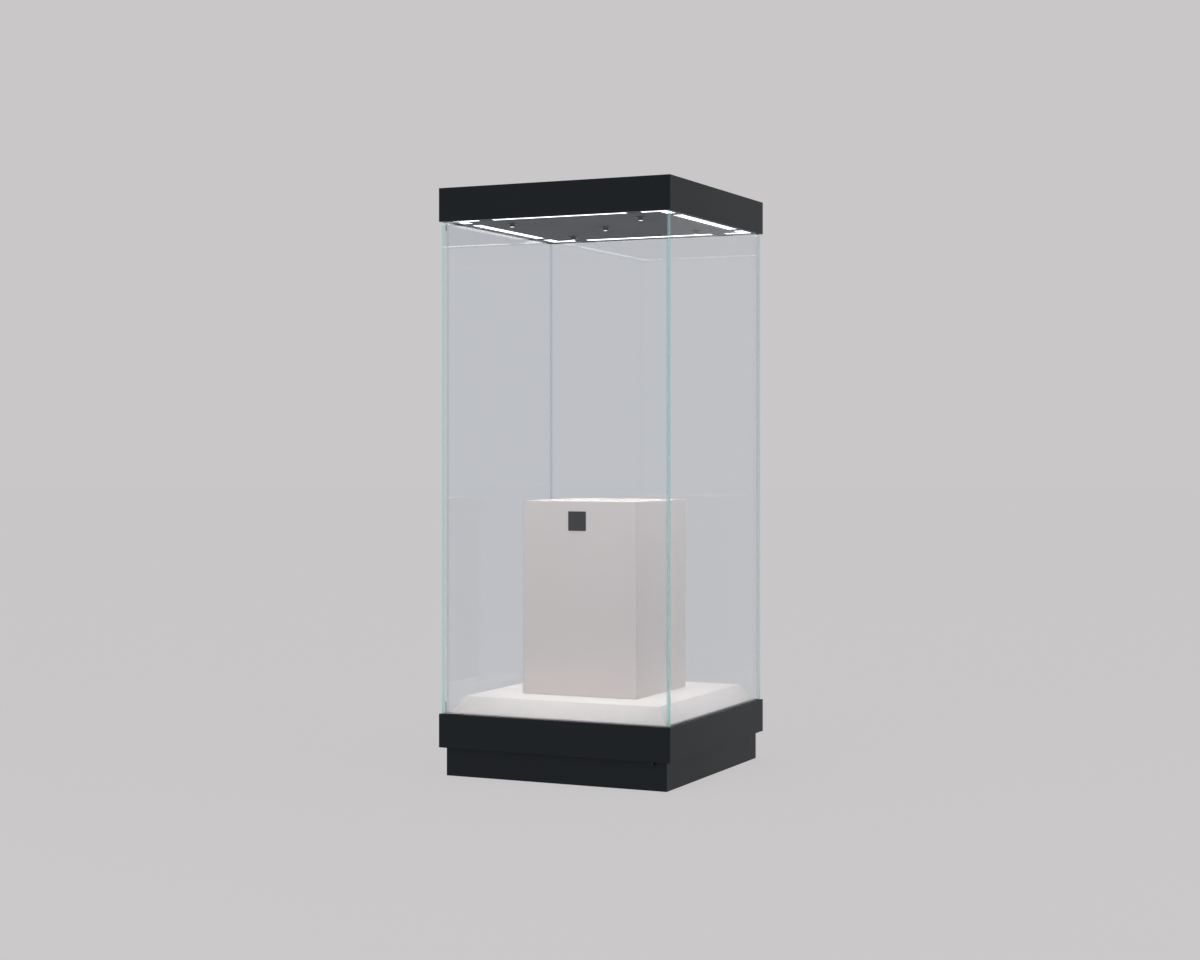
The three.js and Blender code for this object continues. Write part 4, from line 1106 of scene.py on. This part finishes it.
class SHOWCASE_OT_structure(bpy.types.Operator):
    """Finish the glass channels, the base frame and the deck plate"""

    bl_idname = "showcase.structure"
    bl_label = "Structure"

    def execute(self, context):
        build_structure()
        return {"FINISHED"}


class SHOWCASE_OT_panes(bpy.types.Operator):
    """Make the four panes with their ground and polished edges"""

    bl_idname = "showcase.panes"
    bl_label = "Panes"

    def execute(self, context):
        build_panes(context.scene.showcase_glass)
        return {"FINISHED"}


class SHOWCASE_OT_joints(bpy.types.Operator):
    """Make the clear glue lines and the door's clear seals"""

    bl_idname = "showcase.joints"
    bl_label = "Clear joints"

    def execute(self, context):
        build_joints()
        return {"FINISHED"}


class SHOWCASE_OT_pivots(bpy.types.Operator):
    """Make the door's slim pivot patches and their bushes"""

    bl_idname = "showcase.pivots"
    bl_label = "Door pivots"

    def execute(self, context):
        build_pivots()
        return {"FINISHED"}


class SHOWCASE_OT_deck(bpy.types.Operator):
    """Make the cloth-covered deck"""

    bl_idname = "showcase.deck"
    bl_label = "Deck"

    def execute(self, context):
        build_deck(context.scene.showcase_cloth)
        return {"FINISHED"}


class SHOWCASE_OT_block(bpy.types.Operator):
    """Make the cloth-covered display block and its blank plate"""

    bl_idname = "showcase.block"
    bl_label = "Display block"

    def execute(self, context):
        build_block(context.scene.showcase_cloth)
        return {"FINISHED"}


class SHOWCASE_OT_ceiling(bpy.types.Operator):
    """Make the ceiling panel's light band"""

    bl_idname = "showcase.ceiling"
    bl_label = "Ceiling and light band"

    def execute(self, context):
        build_ceiling()
        return {"FINISHED"}


class SHOWCASE_OT_spots(bpy.types.Operator):
    """Make the five adjustable spotlights"""

    bl_idname = "showcase.spots"
    bl_label = "Spotlights"

    def execute(self, context):
        for name in SPOTS:
            build_spot(name, context.scene.showcase_lamps.turns)
        return {"FINISHED"}


class SHOWCASE_OT_lock(bpy.types.Operator):
    """Make the door's key plunger and its housing"""

    bl_idname = "showcase.lock"
    bl_label = "Door lock"

    def execute(self, context):
        build_lock()
        return {"FINISHED"}


class SHOWCASE_OT_lid(bpy.types.Operator):
    """Make the hood's lid, its hinge and its latch"""

    bl_idname = "showcase.lid"
    bl_label = "Lid"

    def execute(self, context):
        build_lid(context.scene.showcase_shells)
        return {"FINISHED"}


class SHOWCASE_OT_supply(bpy.types.Operator):
    """Make the drivers, the terminal box and the supply inlet"""

    bl_idname = "showcase.supply"
    bl_label = "Supply"

    def execute(self, context):
        build_supply()
        return {"FINISHED"}


class SHOWCASE_OT_feet(bpy.types.Operator):
    """Make the four levelling feet"""

    bl_idname = "showcase.feet"
    bl_label = "Levelling feet"

    def execute(self, context):
        for corner in CORNERS:
            build_foot(corner, context.scene.showcase_lamps.turns)
        return {"FINISHED"}


OPERATORS = (
    SHOWCASE_OT_studio,
    SHOWCASE_OT_shells,
    SHOWCASE_OT_structure,
    SHOWCASE_OT_panes,
    SHOWCASE_OT_joints,
    SHOWCASE_OT_pivots,
    SHOWCASE_OT_deck,
    SHOWCASE_OT_block,
    SHOWCASE_OT_ceiling,
    SHOWCASE_OT_spots,
    SHOWCASE_OT_lock,
    SHOWCASE_OT_lid,
    SHOWCASE_OT_supply,
    SHOWCASE_OT_feet,
)


class SHOWCASE_PT_panel(bpy.types.Panel):
    """Lists the showcase's pieces and the sizes and colours that can be changed"""

    bl_idname = "SHOWCASE_PT_panel"
    bl_label = "Glass tower showcase"
    bl_space_type = "VIEW_3D"
    bl_region_type = "UI"
    bl_category = "Showcase"

    def draw(self, context):
        for operator in OPERATORS:
            self.layout.operator(operator.bl_idname)
        for name, group in GROUPS.items():
            box = self.layout.box()
            box.label(text=name.split("_")[1].title())
            for key in group.__annotations__:
                box.prop(getattr(context.scene, name), key)


def register():
    for group in GROUPS.values():
        bpy.utils.register_class(group)
    for name, group in GROUPS.items():
        setattr(bpy.types.Scene, name, PointerProperty(type=group))
    for operator in OPERATORS:
        bpy.utils.register_class(operator)
    bpy.utils.register_class(SHOWCASE_PT_panel)


def unregister():
    bpy.utils.unregister_class(SHOWCASE_PT_panel)
    for operator in reversed(OPERATORS):
        bpy.utils.unregister_class(operator)
    for name in GROUPS:
        delattr(bpy.types.Scene, name)
    for group in reversed(list(GROUPS.values())):
        bpy.utils.unregister_class(group)


def main():
    register()
    for operator in OPERATORS:
        family, name = operator.bl_idname.split(".")
        getattr(getattr(bpy.ops, family), name)()


if __name__ == "__main__":
    main()
